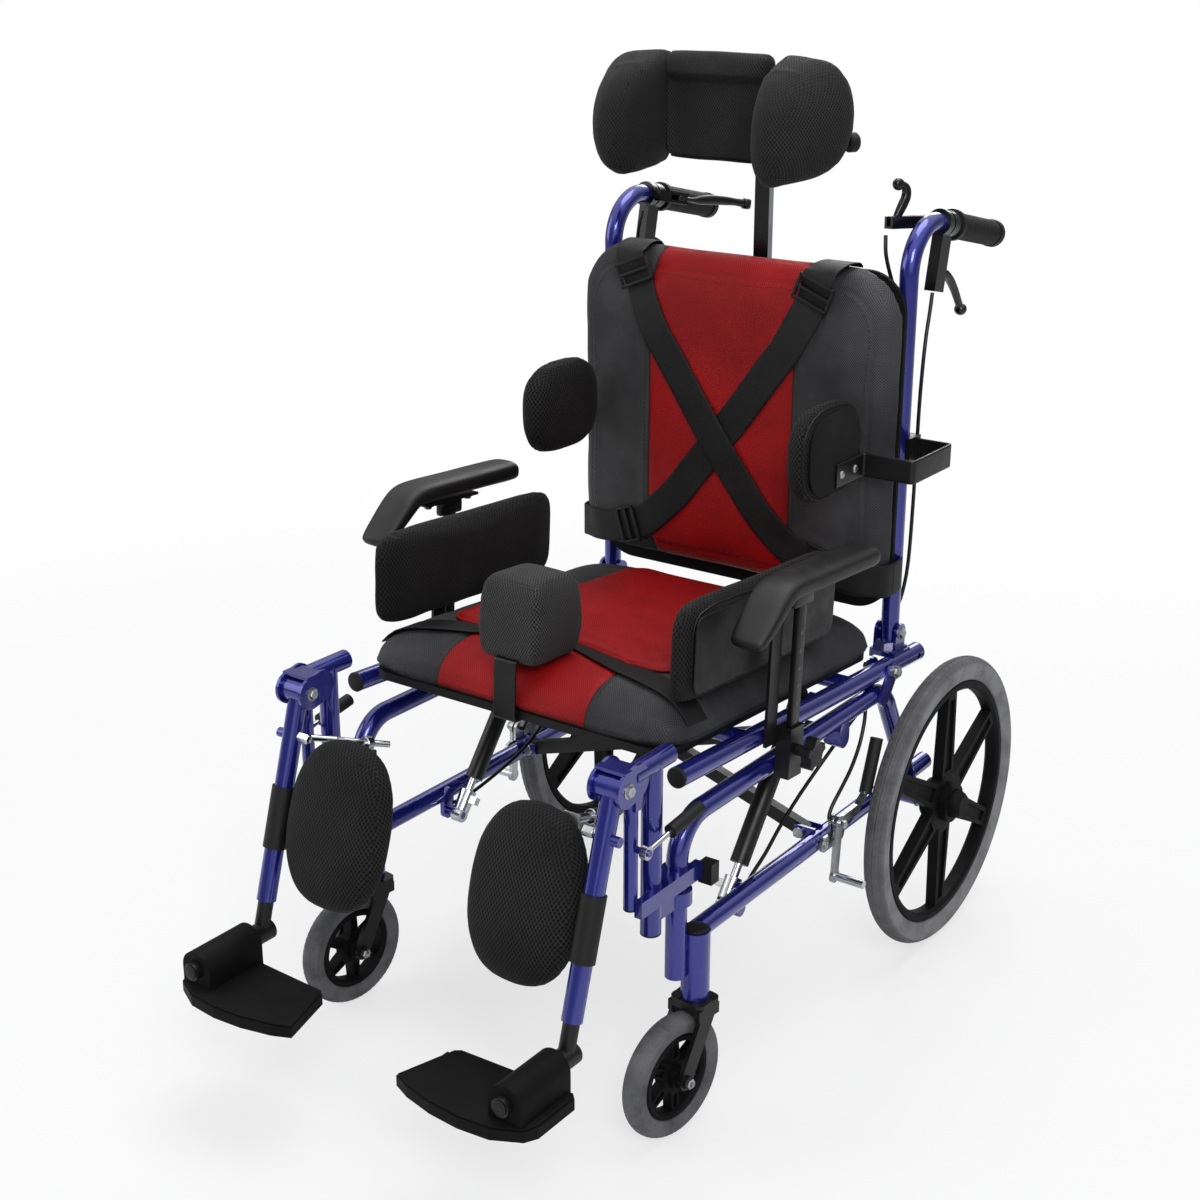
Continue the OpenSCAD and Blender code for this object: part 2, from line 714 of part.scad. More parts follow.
module rear_rim() {
    rim_r = rear_rim_d / 2 - running_gap;
    color(black) translate([rear_wheel_x, axle_y, axle_z]) rotate([0, 90, 0]) {
        spoked_rim(rim_r, rear_tyre_w - 8, 9, 27, 40, axle_r + running_gap, 36, 15, 4);
        translate([0, 0, 20 + touch_gap]) intersection() {
            sphere(r = 20);
            cylinder(h = 14, r = 24);
        }
        translate([0, 0, 19]) difference() {
            cylinder(h = 1 + touch_gap + over, r = 19);
            translate([0, 0, -over]) cylinder(h = 3 + over, r = axle_r + running_gap);
        }
    }
}

module rear_tyre() {
    color(tyre_grey) translate([rear_wheel_x, axle_y, axle_z]) rotate([0, 90, 0])
        tyre(rear_wheel_d / 2, rear_rim_d / 2, rear_tyre_w);
}

module rear_rim_left() { on_side(1) rear_rim(); }
module rear_rim_right() { on_side(-1) rear_rim(); }
module rear_tyre_left() { on_side(1) rear_tyre(); }
module rear_tyre_right() { on_side(-1) rear_tyre(); }

// Turns a caster drawn about its stem, with the wheel in front, to its place at rest
module caster_place(side) {
    translate([side * caster_x, caster_y, 0]) rotate(-caster_yaw) children();
}

caster_r = caster_d / 2;
fork_gap = 4;
fork_leg_t = 6;
fork_leg_w = 22;
fork_axle_r = 4;
crown_bottom_z = caster_r + sqrt(caster_r * caster_r - (caster_trail - 20) * (caster_trail - 20)) + 2;
module caster_fork(side) {
    half = caster_tyre_w / 2 + fork_gap;
    color(black) caster_place(side) {
        difference() {
            union() {
                translate([0, 0, crown_bottom_z]) linear_extrude(housing_bottom_z - plate_gap - crown_bottom_z)
                    round_rect(2 * (half + fork_leg_t), 40, 9);
                for (x = [-half - fork_leg_t, half]) plate_x(x, fork_leg_t) union() {
                    link2d([0, crown_bottom_z + 1], [-caster_trail, caster_r], fork_leg_w);
                    translate([-20, crown_bottom_z - 8]) square([36, 14]);
                }
            }
            translate([-half, -caster_trail, caster_r]) rotate([0, 90, 0])
                cylinder(h = 2 * half, r = caster_r + fork_gap / 2);
        }
        translate([0, 0, crown_bottom_z + 2]) cylinder(h = housing_top_z - crown_bottom_z - 4, r = stem_r);
        pin_x(-half - fork_leg_t - 4, half + fork_leg_t + 4, -caster_trail, caster_r, fork_axle_r);
        for (x = [-half - fork_leg_t - 4, half + fork_leg_t]) pin_x(x, x + 4, -caster_trail, caster_r, 8);
    }
}

module caster_rim(side) {
    color(black) caster_place(side) translate([0, -caster_trail, caster_r]) rotate([0, 90, 0])
        spoked_rim(caster_rim_d / 2 - running_gap, caster_tyre_w - 6, 6, 14, caster_tyre_w + 4, fork_axle_r + running_gap, 15, 14, 3);
}

module caster_tyre(side) {
    color(tyre_grey) caster_place(side) translate([0, -caster_trail, caster_r]) rotate([0, 90, 0])
        tyre(caster_r, caster_rim_d / 2, caster_tyre_w);
}

module caster_fork_left() { caster_fork(1); }
module caster_fork_right() { caster_fork(-1); }
module caster_rim_left() { caster_rim(1); }
module caster_rim_right() { caster_rim(-1); }
module caster_tyre_left() { caster_tyre(1); }
module caster_tyre_right() { caster_tyre(-1); }

// Wheel lock: lever, shoe and grip in one moving piece
module lock_lever() {
    knee = [lock_y + 48, lock_z + 2];
    grip_low = [lock_y + 72, lock_z + 20];
    grip_high = [lock_y + 95, lock_z + 84];
    shoe = [lock_y - 5, lock_z - lock_arm];
    color(chrome) difference() {
        plate_x(lock_x - lock_t / 2, lock_t) union() {
            translate([lock_y, lock_z]) circle(r = 10);
            strip2d([[lock_y, lock_z], shoe], 16, 13);
            strip2d([[lock_y, lock_z], knee, grip_low, grip_low + [3, 8]], 15, 9);
            translate(shoe) circle(r = 9);
        }
        pin_x(lock_x - lock_t, lock_x + lock_t, lock_y, lock_z, pivot_bolt_r + running_gap);
    }
    color(chrome) pin_x(lock_x, rear_wheel_x + rear_tyre_w / 2 + 4, shoe[0], shoe[1], lock_shoe_r);
    color(black) rod([lock_x, grip_low[0] - 2, grip_low[1] - 5], [lock_x, grip_high[0], grip_high[1]], lock_grip_r);
}

module lock_lever_left() { on_side(1) lock_lever(); }
module lock_lever_right() { on_side(-1) lock_lever(); }

// Tilting seat

// Rails, two cross tubes and the recline hinge brackets, as one weldment
module seat_rails() {
    bracket_x = back_tube_x - back_tube_r - plate_gap - hinge_t;
    bracket_out = back_tube_x + back_tube_r + plate_gap;
    color(blue) rake() {
        difference() {
            both_sides() {
                rod([rail_x, rail_front_y, tilt_z], [rail_x, rail_rear_y, tilt_z], tube_r);
                pin_x(gas_x + gas_cylinder_d / 2 + plate_gap, rail_x, gas_top_y, tilt_z, 8);
                for (x = [bracket_x, bracket_out]) plate_x(x, hinge_t) union() {
                    link2d([hinge_y, hinge_z], [hinge_y, board_z + 4], 26);
                    translate([hinge_y - 22, tilt_z + 6]) square([44, 12]);
                }
                block([bracket_x, hinge_y - 22, tilt_z + 9], [rail_x + 6, hinge_y + 22, tilt_z + tube_r + 3]);
                pin_x(bracket_x, bracket_out + hinge_t, hinge_y, hinge_z, knee_pin_r);
            }
            for (s = [1, -1]) on_side(s) {
                pin_x(rail_x - tube_r - over, rail_x + tube_r + over, tilt_y, tilt_z, pivot_bolt_r + running_gap);
                pin_x(rail_x - tube_r - over, rail_x + tube_r + over, rail_rear_y - 14, tilt_z, 4);
            }
        }
        for (y = seat_tube_ys) rod([-rail_x + 2, y, board_z - seat_tube_r], [rail_x - 2, y, board_z - seat_tube_r], seat_tube_r);
    }
}

module seat_board() {
    middle_y = (rail_front_y + seat_rear_y) / 2;
    color(black) rake() translate([0, middle_y, board_z + running_gap]) linear_extrude(board_t)
        round_rect(seat_w - 16, seat_rear_y - rail_front_y - 4, 30);
}

// Shares of the half width at which the channels of the two-coloured cushions run
function channel_share(w) = panel_w / w;
function channel_places(w) = let (c = channel_share(w))
    [-1, -0.94, -0.78, -c - 0.08, -c, -c + 0.08, -c / 2, 0, c / 2, c - 0.08, c, c + 0.08, 0.78, 0.94, 1];

module seat_cushion() {
    color(grey) rake() translate([0, (seat_front_y + seat_rear_y) / 2, cushion_z])
        soft_form([seat_w, seat_rear_y - seat_front_y, seat_cushion_h - 6], 9, 6, 0.012,
            [-channel_share(seat_w), channel_share(seat_w)], 4, 0.42, channel_places(seat_w));
}

module hip_pads() {
    length = hip_rear_y - hip_front_y;
    color(black) rake() both_sides()
        translate([hip_x + hip_t, (hip_front_y + hip_rear_y) / 2, hip_z + hip_h / 2])
            rotate([0, -90, 0]) soft_form([hip_h, length, hip_t - 3], 6, 3, 0.02);
}

// Sockets for the arm posts, with the arms that carry the hip pads
module arm_sockets() {
    out = arm_post_x + arm_post_t + 3.5;
    color(black) rake() both_sides() {
        difference() {
            union() {
                block([arm_socket_x, arm_y - 15, arm_socket_bottom_z], [out, arm_y + 15, arm_socket_top_z]);
                block([rail_x + tube_r - 0.4, arm_y - 15, tilt_z - 6], [arm_socket_x + weld, arm_y + 15, tilt_z + 6]);
                block([arm_socket_x, arm_y - 45, tilt_z - 10], [arm_socket_x + 4, arm_y, tilt_z + 8]);
            }
            block([arm_post_x - arm_slot_gap, arm_y - arm_post_w / 2 - arm_slot_gap, arm_socket_bottom_z - over],
                [arm_post_x + arm_post_t + arm_slot_gap, arm_y + arm_post_w / 2 + arm_slot_gap, arm_socket_top_z + over]);
        }
        block([arm_socket_x, arm_y - 45, tilt_z + 8], [arm_socket_x + 4, arm_y - 22, hip_z + 70]);
        block([hip_x + hip_t + touch_gap, arm_y - 45, hip_z + 40], [arm_socket_x, arm_y - 22, hip_z + 70]);
        arm_knob();
    }
}

// Star knob that clamps the arm post
module arm_knob() {
    x = arm_post_x + arm_post_t + 3.5;
    pin_x(x, x + 12, arm_y + 4, tilt_z - 22, 7);
    translate([x + 12, arm_y + 4, tilt_z - 22]) rotate([0, 90, 0]) difference() {
        cylinder(h = 14, r = 20);
        for (k = [0:4]) rotate(k * 72) translate([23, 0, -over]) cylinder(h = 14 + 2 * over, r = 9);
    }
}

// Lap belt lying across the seat, from hip pad to hip pad
module lap_belt() {
    z = cushion_z + seat_cushion_h + touch_gap - belt_drop;
    half = seat_w / 2 - belt_end_gap;
    shares = [-1, -0.8, -0.5, 0, 0.5, 0.8, 1];
    color(black) rake() band([for (k = shares) [k * half, belt_y, z]],
        [for (k = shares) [0, -1, 0]], belt_w, belt_t, [for (k = shares) [0, 0, 1]]);
}

// Armrests

// Bent side outline of the arm pad, as [y, z]
function arm_outline(top) = let (
    tip = [arm_pad_bend_y + arm_pad_drop[0], top + arm_pad_drop[1]],
    low = top - arm_pad_t)
    [[arm_pad_rear_y, low + 4], [arm_pad_rear_y, top - 5], [arm_pad_rear_y - 5, top],
     [arm_pad_bend_y + 12, top], [arm_pad_bend_y - 4, top - 3], [arm_pad_bend_y - 14, top - 11],
     tip + [-2, 12], tip + [0, 4], tip + [6, 0], tip + [26, 3],
     [arm_pad_bend_y + 2, low - 3], [arm_pad_bend_y + 14, low], [arm_pad_rear_y - 4, low]];

module armrest(lift) {
    top = arm_top_z + lift;
    low = top - arm_pad_t;
    middle_x = arm_pad_x + arm_pad_w / 2;
    length = arm_pad_rear_y - arm_pad_bend_y - arm_pad_drop[0] + 4;
    color(black) rake() {
        intersection() {
            plate_x(arm_pad_x, arm_pad_w) polygon(arm_outline(top));
            translate([middle_x, arm_pad_rear_y - length / 2, tilt_z]) linear_extrude(arm_pad_rise + lift + over)
                round_rect(arm_pad_w, length, 14);
        }
        block([arm_post_x - 3, arm_y - 52, low - 7], [arm_post_x + arm_post_t + 8, arm_y + 52, low]);
        for (y = [arm_y - 40, arm_y + 40]) translate([arm_post_x + 7, y, low - 12]) cylinder(h = 5, r = 5);
        block([arm_post_x, arm_y - arm_post_w / 2, arm_socket_bottom_z - 3 + lift],
            [arm_post_x + arm_post_t, arm_y + arm_post_w / 2, low - 7]);
    }
}

module armrest_left() { on_side(1) armrest(0); }
module armrest_right() { on_side(-1) armrest(arm_pad_step); }

// Pommel on a bar that runs down over the front of the seat
module pommel() {
    rear = seat_front_y - pommel_out + pommel_d;
    front = seat_front_y - pommel_out;
    plate_z = pommel_z - touch_gap - pommel_plate_t;
    under_z = board_z;
    color(grey) rake() translate([0, rear - pommel_d / 2, pommel_z])
        soft_form([pommel_w, pommel_d, pommel_h - 4], 7, 4, 0.01, [], 0, 0.2);
    color(black) rake() {
        block([-pommel_bar_w / 2, front - pommel_bar_t, plate_z],
            [pommel_bar_w / 2, rear - pommel_bar_end, plate_z + pommel_plate_t]);
        block([-pommel_bar_w / 2, front - pommel_bar_t, under_z], [pommel_bar_w / 2, front, plate_z]);
        block([-pommel_bar_w / 2, front - pommel_bar_t, under_z - pommel_bar_t],
            [pommel_bar_w / 2, front + pommel_bar_foot, under_z]);
    }
}

// Reclining back

module back_tubes() {
    bottom = 13;
    color(blue) both_sides() difference() {
        translate([back_tube_x, back_y, back_z - bottom])
            run([[handle_bend_z - back_z + bottom], [handle_bend_r, handle_bend_angle], [handle_len]], back_tube_r);
        pin_x(back_tube_x - back_tube_r - over, back_tube_x + back_tube_r + over, back_y, back_z, knee_pin_r + running_gap);
    }
}

module back_board() {
    h = back_top_z - back_bottom_z + 18;
    color(black) translate([0, back_board_y + back_board_t, back_top_z - board_side - h / 2])
        rotate([90, 0, 0]) linear_extrude(back_board_t) round_rect(back_w - 2 * board_side, h, board_corner_r);
}

module back_cushion() {
    h = back_top_z - back_bottom_z;
    color(grey) translate([0, back_board_y - touch_gap, back_bottom_z + h / 2]) rotate([90, 0, 0])
        soft_form([back_w, h, back_cushion_t - 5], 8, 5, 0.012,
            [-channel_share(back_w), channel_share(back_w)], 4, 0.4, channel_places(back_w));
}

// Clamp on a back tube that holds the bar of a side support
module lateral_clamp() {
    high = lateral_bar_h / 2;
    translate([0, 0, lateral_z]) difference() {
        block([back_tube_x - 17, back_y - 6, -high - 4], [back_tube_x + 17, lateral_bar_y + lateral_bar_t + 4, high + 4]);
        block([0, lateral_bar_y - arm_slot_gap, -high - arm_slot_gap],
            [lateral_out_x, lateral_bar_y + lateral_bar_t + arm_slot_gap, high + arm_slot_gap]);
        translate([back_tube_x, back_y, -lateral_bar_h]) cylinder(h = 2 * lateral_bar_h, r = back_tube_r + running_gap);
    }
}

// Two cross tubes behind the board, the socket of the headrest post and the side support clamps
module back_crossbars() {
    reach = back_tube_x - back_tube_r + weld;
    socket_w = head_post_w + 16;
    socket_top = crossbar_high_z + head_socket_h / 2;
    color(black) difference() {
        union() {
            for (z = [crossbar_low_z, crossbar_high_z]) rod([-reach, back_y, z], [reach, back_y, z], crossbar_r);
            block([-socket_w / 2, back_y, socket_top - head_socket_h],
                [socket_w / 2, head_post_y + head_post_t / 2 + 7, socket_top]);
        }
        block([-head_post_w / 2 - arm_slot_gap, head_post_y - head_post_t / 2 - arm_slot_gap, socket_top - head_socket_h - over],
            [head_post_w / 2 + arm_slot_gap, head_post_y + head_post_t / 2 + arm_slot_gap, socket_top + over]);
    }
    color(black) both_sides() lateral_clamp();
}

// Crossed shoulder straps: each runs from the top of the back over the cushion to the far hip
strap_front = back_front_y - 4;
strap_rise = 30;
module shoulder_strap(layer) {
    y = strap_front - layer * (strap_t + 1);
    low_z = back_bottom_z + strap_rise;
    half = back_w / 2;
    edge_x = -half - 3;
    route = [
        [half * 0.63, back_board_y - 2, back_top_z + 2], [half * 0.61, back_front_y + 24, back_top_z + 3],
        [half * 0.59, back_front_y - 2, back_top_z - 8], [half * 0.55, y - 1, back_top_z - 40],
        [half * 0.42, y - 2, back_top_z - 105], [half * 0.08, y, back_top_z - 215],
        [-half * 0.25, y, back_top_z - 320], [-half * 0.5, y, low_z + 25],
        [-half * 0.74, y, low_z + 5], [-half * 0.9, y + 3, low_z + 1], [edge_x + 2, y + 8, low_z],
        [edge_x, y + 20, low_z], [edge_x, back_board_y, low_z], [-back_tube_x - back_tube_r - running_gap, back_y, low_z]];
    lean = atan2(80, 108);
    across = [[1, 0, 0], [1, 0, 0], [1, 0, 0], [cos(lean / 2), 0, -sin(lean / 2)], [cos(lean), 0, -sin(lean)],
        [cos(lean), 0, -sin(lean)], [cos(50), 0, -sin(50)], [cos(70), 0, -sin(70)],
        [0.17, 0, -0.98], [0, 0, -1], [0, 0, -1], [0, 0, -1], [0, 0, -1], [0, 0, -1]];
    out = [[0, 0, 1], [0, -0.4, 0.9], [0, -1, 0], [0, -1, 0], [0, -1, 0], [0, -1, 0], [0, -1, 0], [0, -1, 0],
        [0, -1, 0], [0, -1, 0], [-0.7, -0.7, 0], [-1, 0, 0], [-1, 0, 0], [-1, 0, 0]];
    band(route, across, strap_w, strap_t, out);
}

module harness() {
    color(black) {
        shoulder_strap(0);
        mirror([1, 0, 0]) shoulder_strap(1.1);
    }
}

// Cables down the back tubes, from the levers to the recline pivots
release_cable = [[-41, 306, 974], [-37, 302, 950], [-31, 308, 920], [-25, 318, 890], [-21, 322, 850],
    [-19, 323, 790], [-19, 323, 720], [-19, 323, 650], [-17, 320, 580], [-13, 314, 520], [-7, 305, 496]];
brake_cable = [[1, 361, 898], [3, 353, 876], [6, 340, 846], [9, 329, 806], [10, 324, 760],
    [10, 323, 690], [10, 322, 620], [10, 318, 550], [7, 313, 510], [4, 306, 490]];
module back_cables() {
    color(black) both_sides() {
        cable(beside(release_cable, back_tube_x), cable_r);
        cable(beside(brake_cable, back_tube_x), cable_r);
    }
}

// Moves the origin to the front end of the grip's axis: Z runs back along the grip, Y down
module at_handle() {
    translate([back_tube_x, back_y + handle_bend_r * (1 - cos(handle_bend_angle)),
        handle_bend_z + handle_bend_r * sin(handle_bend_angle)]) rotate([-handle_bend_angle, 0, 0]) children();
}

// Stands an outline upright beside the handle, its X forward and inward, its Y up
module release_upright() {
    at_handle() translate(release_start) rotate([180, 90 + release_angle, 0]) rotate(-release_droop) children();
}

// Lays an outline flat beside the handle, its X backward and inward
module release_flat() {
    at_handle() translate(release_start) rotate([90, -90 - release_angle, 0]) children();
}

// Body of a release lever, with a slot for the blade, drawn in the blade's plane
module release_body(length) {
    difference() {
        translate([-4, -8, -lever_body_t / 2]) cube([length + 4, 15, lever_body_t]);
        translate([16, -5, -lever_slot_t / 2]) cube([length, 20, lever_slot_t]);
    }
    translate([length - 12, 2, -lever_body_t / 2]) cylinder(h = lever_body_t, r = lever_pin_r);
}

// Grips, lever clamps, the brake lever housings and the release lever bodies
module handle_fittings() {
    bore = back_tube_r + running_gap;
    color(black) {
        both_sides() at_handle() difference() {
            union() {
                translate([0, 0, grip_start]) cylinder(h = handle_len - grip_start + 4, r = grip_r);
                translate([0, 0, grip_start]) cylinder(h = 8, r = grip_r + 4);
                translate([0, 0, handle_len - 4]) cylinder(h = 10, r = grip_r + 2);
                translate([0, 0, 2]) cylinder(h = 12, r = clamp_r);
                block([-clamp_r - 9, -6, 2], [-back_tube_r, 6, 14]);
            }
            translate([0, 0, -over]) cylinder(h = handle_len + over, r = bore);
        }
        both_sides() at_handle() difference() {
            union() {
                translate([0, 0, 17]) cylinder(h = 16, r = clamp_r);
                block([-lever_body_t / 2, back_tube_r + 2, 4], [lever_body_t / 2, brake_drop + 26, 30]);
            }
            translate([0, 0, -over]) cylinder(h = handle_len, r = bore);
            block([-lever_slot_t / 2, brake_drop - 20, 10], [lever_slot_t / 2, brake_drop + 40, 40]);
        }
        both_sides() at_handle() pin_x(-lever_body_t / 2, lever_body_t / 2, brake_drop, 18, lever_pin_r);
        on_side(1) release_upright() release_body(release_len_left);
        on_side(-1) release_flat() release_body(release_len_right);
    }
}

// Lever blade between points of its plane, with a bored eye at the first and a ball at the last
module lever_blade(points, tip_r) {
    t = lever_slot_t - 0.4;
    translate([0, 0, -t / 2]) difference() {
        linear_extrude(t) union() {
            translate(points[0]) circle(r = 6);
            strip2d(points, 9, 7);
        }
        translate([points[0][0], points[0][1], -over]) cylinder(h = t + 2 * over, r = lever_pin_r + running_gap);
    }
    end = points[len(points) - 1];
    translate([end[0], end[1], 0]) sphere(r = tip_r);
}

// Brake lever: its blade hangs back and down under the grip
module brake_lever() {
    color(black) at_handle() rotate([0, -90, 0]) lever_blade([[18, brake_drop], [42, brake_drop + 2],
        [66, brake_drop + 12], [90, brake_drop + 30], [106, brake_drop + 44]], 8);
}

module brake_lever_left() { on_side(1) brake_lever(); }
module brake_lever_right() { on_side(-1) brake_lever(); }

// Release levers: a hook that rises on the left, a long blade beside the grip on the right
module release_lever_left() {
    color(black) on_side(1) release_upright()
        lever_blade([[release_len_left - 12, 2], [46, 14], [36, 30], [38, 44], [50, 46]], 7);
}

module release_lever_right() {
    color(black) on_side(-1) release_flat()
        lever_blade([[release_len_right - 12, 2], [80, 4], [110, 4], [146, 10]], 6);
}

// Side supports: pad on a bar that wraps round the edge of the back
module lateral_support() {
    pad_y = back_front_y - touch_gap - lateral_d / 2;
    out = lateral_x + lateral_t;
    bar_y = back_front_y - 2 - lateral_bar_t;
    low = lateral_z - lateral_bar_h / 2;
    high = lateral_z + lateral_bar_h / 2;
    rear = lateral_bar_y + lateral_bar_t;
    color(black) translate([out, pad_y, lateral_z + 30]) rotate([0, -90, 0])
        soft_form([lateral_h, lateral_d, lateral_t - 3], 3.2, 3, 0);
    color(black) {
        block([out + touch_gap, pad_y, low], [out + touch_gap + lateral_bar_t, bar_y + lateral_bar_t, high]);
        block([out + touch_gap, bar_y, low], [lateral_out_x, bar_y + lateral_bar_t, high]);
        block([lateral_out_x - lateral_bar_t, bar_y, low], [lateral_out_x, rear, high]);
        block([back_tube_x - 60, lateral_bar_y, low], [lateral_out_x, rear, high]);
    }
}

module lateral_support_left() { on_side(1) lateral_support(); }
module lateral_support_right() { on_side(-1) lateral_support(); }

// Headrest

head_pad_h = 132;
head_pad_w = 148;
head_pad_t = 46;
head_pad_front_y = back_y - 115;
head_pad_rear_y = head_pad_front_y + head_pad_t;
head_hinge_z = head_z - 14;
wing_hinge = [63, head_pad_rear_y + 9];
wing_leaf_x = 150;
wing_leaf_h = 40;
module headrest_post() {
    low = crossbar_high_z - head_socket_h / 2 - 30;
    eye = 12;
    color(chrome) {
        block([-head_post_w / 2, head_post_y - head_post_t / 2, low],
            [head_post_w / 2, head_post_y + head_post_t / 2, head_hinge_z - eye - 6]);
        difference() {
            union() {
                pin_x(-6, 6, head_post_y, head_hinge_z, eye);
                block([-6, head_post_y - head_post_t / 2, head_hinge_z - eye - 8], [6, head_post_y + head_post_t / 2, head_hinge_z]);
            }
            pin_x(-6 - over, 6 + over, head_post_y, head_hinge_z, knee_pin_r + running_gap);
        }
    }
}

// Middle pad with its plate, and the clevis that turns on the post
module headrest_pad() {
    plate_y = head_pad_rear_y + touch_gap;
    color(black) translate([0, head_pad_rear_y, head_z]) rotate([90, 0, 0])
        soft_form([head_pad_w, head_pad_h, head_pad_t - 4], 9, 4, 0, [], 0, 0.3);
    color(black) {
        translate([0, plate_y + 5, head_z - 6]) rotate([90, 0, 0]) linear_extrude(5) round_rect(100, 104, 10);
        for (x = [-10.5, 6.5]) plate_x(x, 4)
            link2d([plate_y + 12, head_hinge_z], [head_post_y, head_hinge_z], 22);
        for (x = [-10.5, 6.5]) block([x, plate_y + 2, head_hinge_z - 11], [x + 4, plate_y + 14, head_hinge_z + 11]);
        pin_x(-10.5, 10.5, head_post_y, head_hinge_z, knee_pin_r);
        both_sides() translate([0, 0, head_z]) {
            for (z = [-44, 10]) translate([0, 0, z]) linear_extrude(8)
                link2d([44, plate_y + 3], wing_hinge, 9);
            translate([wing_hinge[0], wing_hinge[1], -44]) cylinder(h = 62, r = 3);
        }
    }
}

// Wing outline in plan, from the seam to the rounded front edge
wing_outline = [[75, 0], [75, -40], [86, -80], [98, -108], [110, -122], [124, -122], [150, -92], [176, -48],
    [190, -20], [184, 2], [150, 8], [110, 6]];
wing_scale_shares = [0.62, 0.84, 0.95, 1, 1, 0.97, 0.88, 0.66];
wing_height_shares = [-0.5, -0.45, -0.34, -0.15, 0.15, 0.32, 0.44, 0.5];
module headrest_wing() {
    y = head_pad_rear_y + 2;
    color(black) translate([0, y, head_z]) lofted_form(wing_outline, [118, -16],
        [for (s = wing_height_shares) s * 146], wing_scale_shares);
    color(black) difference() {
        translate([0, 0, head_z - 32]) union() {
            translate([wing_hinge[0], wing_hinge[1], 0]) cylinder(h = wing_leaf_h, r = 6.5);
            block([wing_hinge[0], wing_hinge[1] - 1, 0], [wing_leaf_x, wing_hinge[1] + 3, wing_leaf_h]);
        }
        translate([wing_hinge[0], wing_hinge[1], head_z - 32 - over])
            cylinder(h = wing_leaf_h + 2 * over, r = 3 + running_gap);
    }
}

module headrest_wing_left() { on_side(1) headrest_wing(); }
module headrest_wing_right() { on_side(-1) headrest_wing(); }

// Swing-away leg rests

// Moves the origin to the knee pivot, with -Z down the leg tube
module at_knee() {
    translate([0, knee_y, knee_z]) rotate([-leg_angle, 0, 0]) children();
}

module hanger() {
    top_z = knee_z + 9;
    cheek_in = leg_x - knee_box_w / 2;
    color(blue) difference() {
        union() {
            rod([rail_x, hanger_y - 2, hanger_bottom_z], [rail_x, hanger_y - 2, top_z], hanger_r);
            rod([rail_x, knee_y + 16, top_z], [rail_x, post_y - 20, top_z], hanger_r);
            rod([rail_x, ratchet_y, ratchet_bottom_z], [rail_x, ratchet_y, knee_z - 20], ratchet_r);
            block([cheek_in + knee_box_w - knee_cheek_t, ratchet_y - 6, knee_z - 30],
                [cheek_in + knee_box_w, ratchet_y + 6, knee_z]);
            for (x = [cheek_in, cheek_in + knee_box_w - knee_cheek_t]) plate_x(x, knee_cheek_t)
                link2d([knee_y, knee_z], [knee_y + 18, knee_z + 4], 2 * knee_r + 10);
            block([cheek_in, knee_y + 17, knee_z - 12], [cheek_in + knee_box_w, knee_y + 21, knee_z + 22]);
            block([cheek_in, knee_y - 6, knee_z + 18], [cheek_in + knee_box_w, knee_y + 21, knee_z + 22]);
            pin_x(cheek_in, cheek_in + knee_box_w, knee_y, knee_z, knee_pin_r);
            for (z = [collar_low_z, collar_high_z]) hanger_collar(z);
            block([rail_x + 8, ratchet_y - 4, collar_high_z], [rail_x + collar_r, post_y + 26, collar_high_z + collar_h]);
            pin_x(rail_x, rail_x + 26, ratchet_y, leg_lever_z, 4);
        }
        translate([rail_x, post_y, collar_low_z - over])
            cylinder(h = collar_high_z + collar_h - collar_low_z + 2 * over, r = tube_r + running_gap);
    }
    color(black) block([rail_x + 12, post_y + 26, collar_high_z - 8], [rail_x + 30, post_y + 42, collar_high_z + 18]);
}

// Bearing that turns on the front post, with its web to the hanger tube
module hanger_collar(z) {
    translate([rail_x, post_y, z]) cylinder(h = collar_h - 2, r = collar_r);
    block([rail_x - 9, hanger_y, z], [rail_x + 9, post_y - tube_r, z + collar_h - 2]);
}

module hanger_left() { on_side(1) hanger(); }
module hanger_right() { on_side(-1) hanger(); }

// Elevating tube with its clamp sleeve and the eye at the knee
module leg_tube() {
    sleeve_top = 118;
    sleeve_len = 76;
    eye_w = knee_box_w - 2 * knee_cheek_t - 2 * plate_gap;
    color(blue) at_knee() difference() {
        union() {
            translate([leg_x, 0, -leg_len]) cylinder(h = leg_len - 6, r = leg_r);
            pin_x(leg_x - eye_w / 2, leg_x + eye_w / 2, 0, 0, knee_r);
            translate([leg_x, 0, -sleeve_top - sleeve_len]) cylinder(h = sleeve_len, r = leg_r + 2.5);
            pin_x(leg_x + leg_r - 2, leg_x + leg_r + 9, 0, -56, 6);
        }
        pin_x(leg_x - eye_w, leg_x + eye_w, 0, 0, knee_pin_r + running_gap);
        translate([leg_x, 0, -leg_len - over]) cylinder(h = leg_len - 40, r = foot_tube_r + running_gap);
    }
}

module leg_tube_left() { on_side(1) leg_tube(); }
module leg_tube_right() { on_side(-1) leg_tube(); }

// Oval calf pad, its plate, and the rod and bracket that hang it on the leg tube
module calf_pad() {
    face = calf_t / 2;
    rod_z = -54;
    color(black) at_knee() translate([calf_x, face, -calf_s]) rotate([90, 0, 0])
        soft_form([calf_w, calf_h, calf_t - 6], 2.6, 6, 0);
    color(chrome) at_knee() {
        rod([leg_x - leg_r - 8, 0, rod_z], [calf_x + 18, 96, rod_z], 4);
        block([calf_x + 18, 22, -104], [calf_x + 40, 26, rod_z + 8]);
        rod([calf_x + 29, 24, rod_z], [calf_x + 29, 66, rod_z], 5);
        pin_x(leg_x - leg_r - 16, leg_x - leg_r - 0.3, 0, rod_z, 6);
    }
}

module calf_pad_left() { on_side(1) calf_pad(); }
module calf_pad_right() { on_side(-1) calf_pad(); }

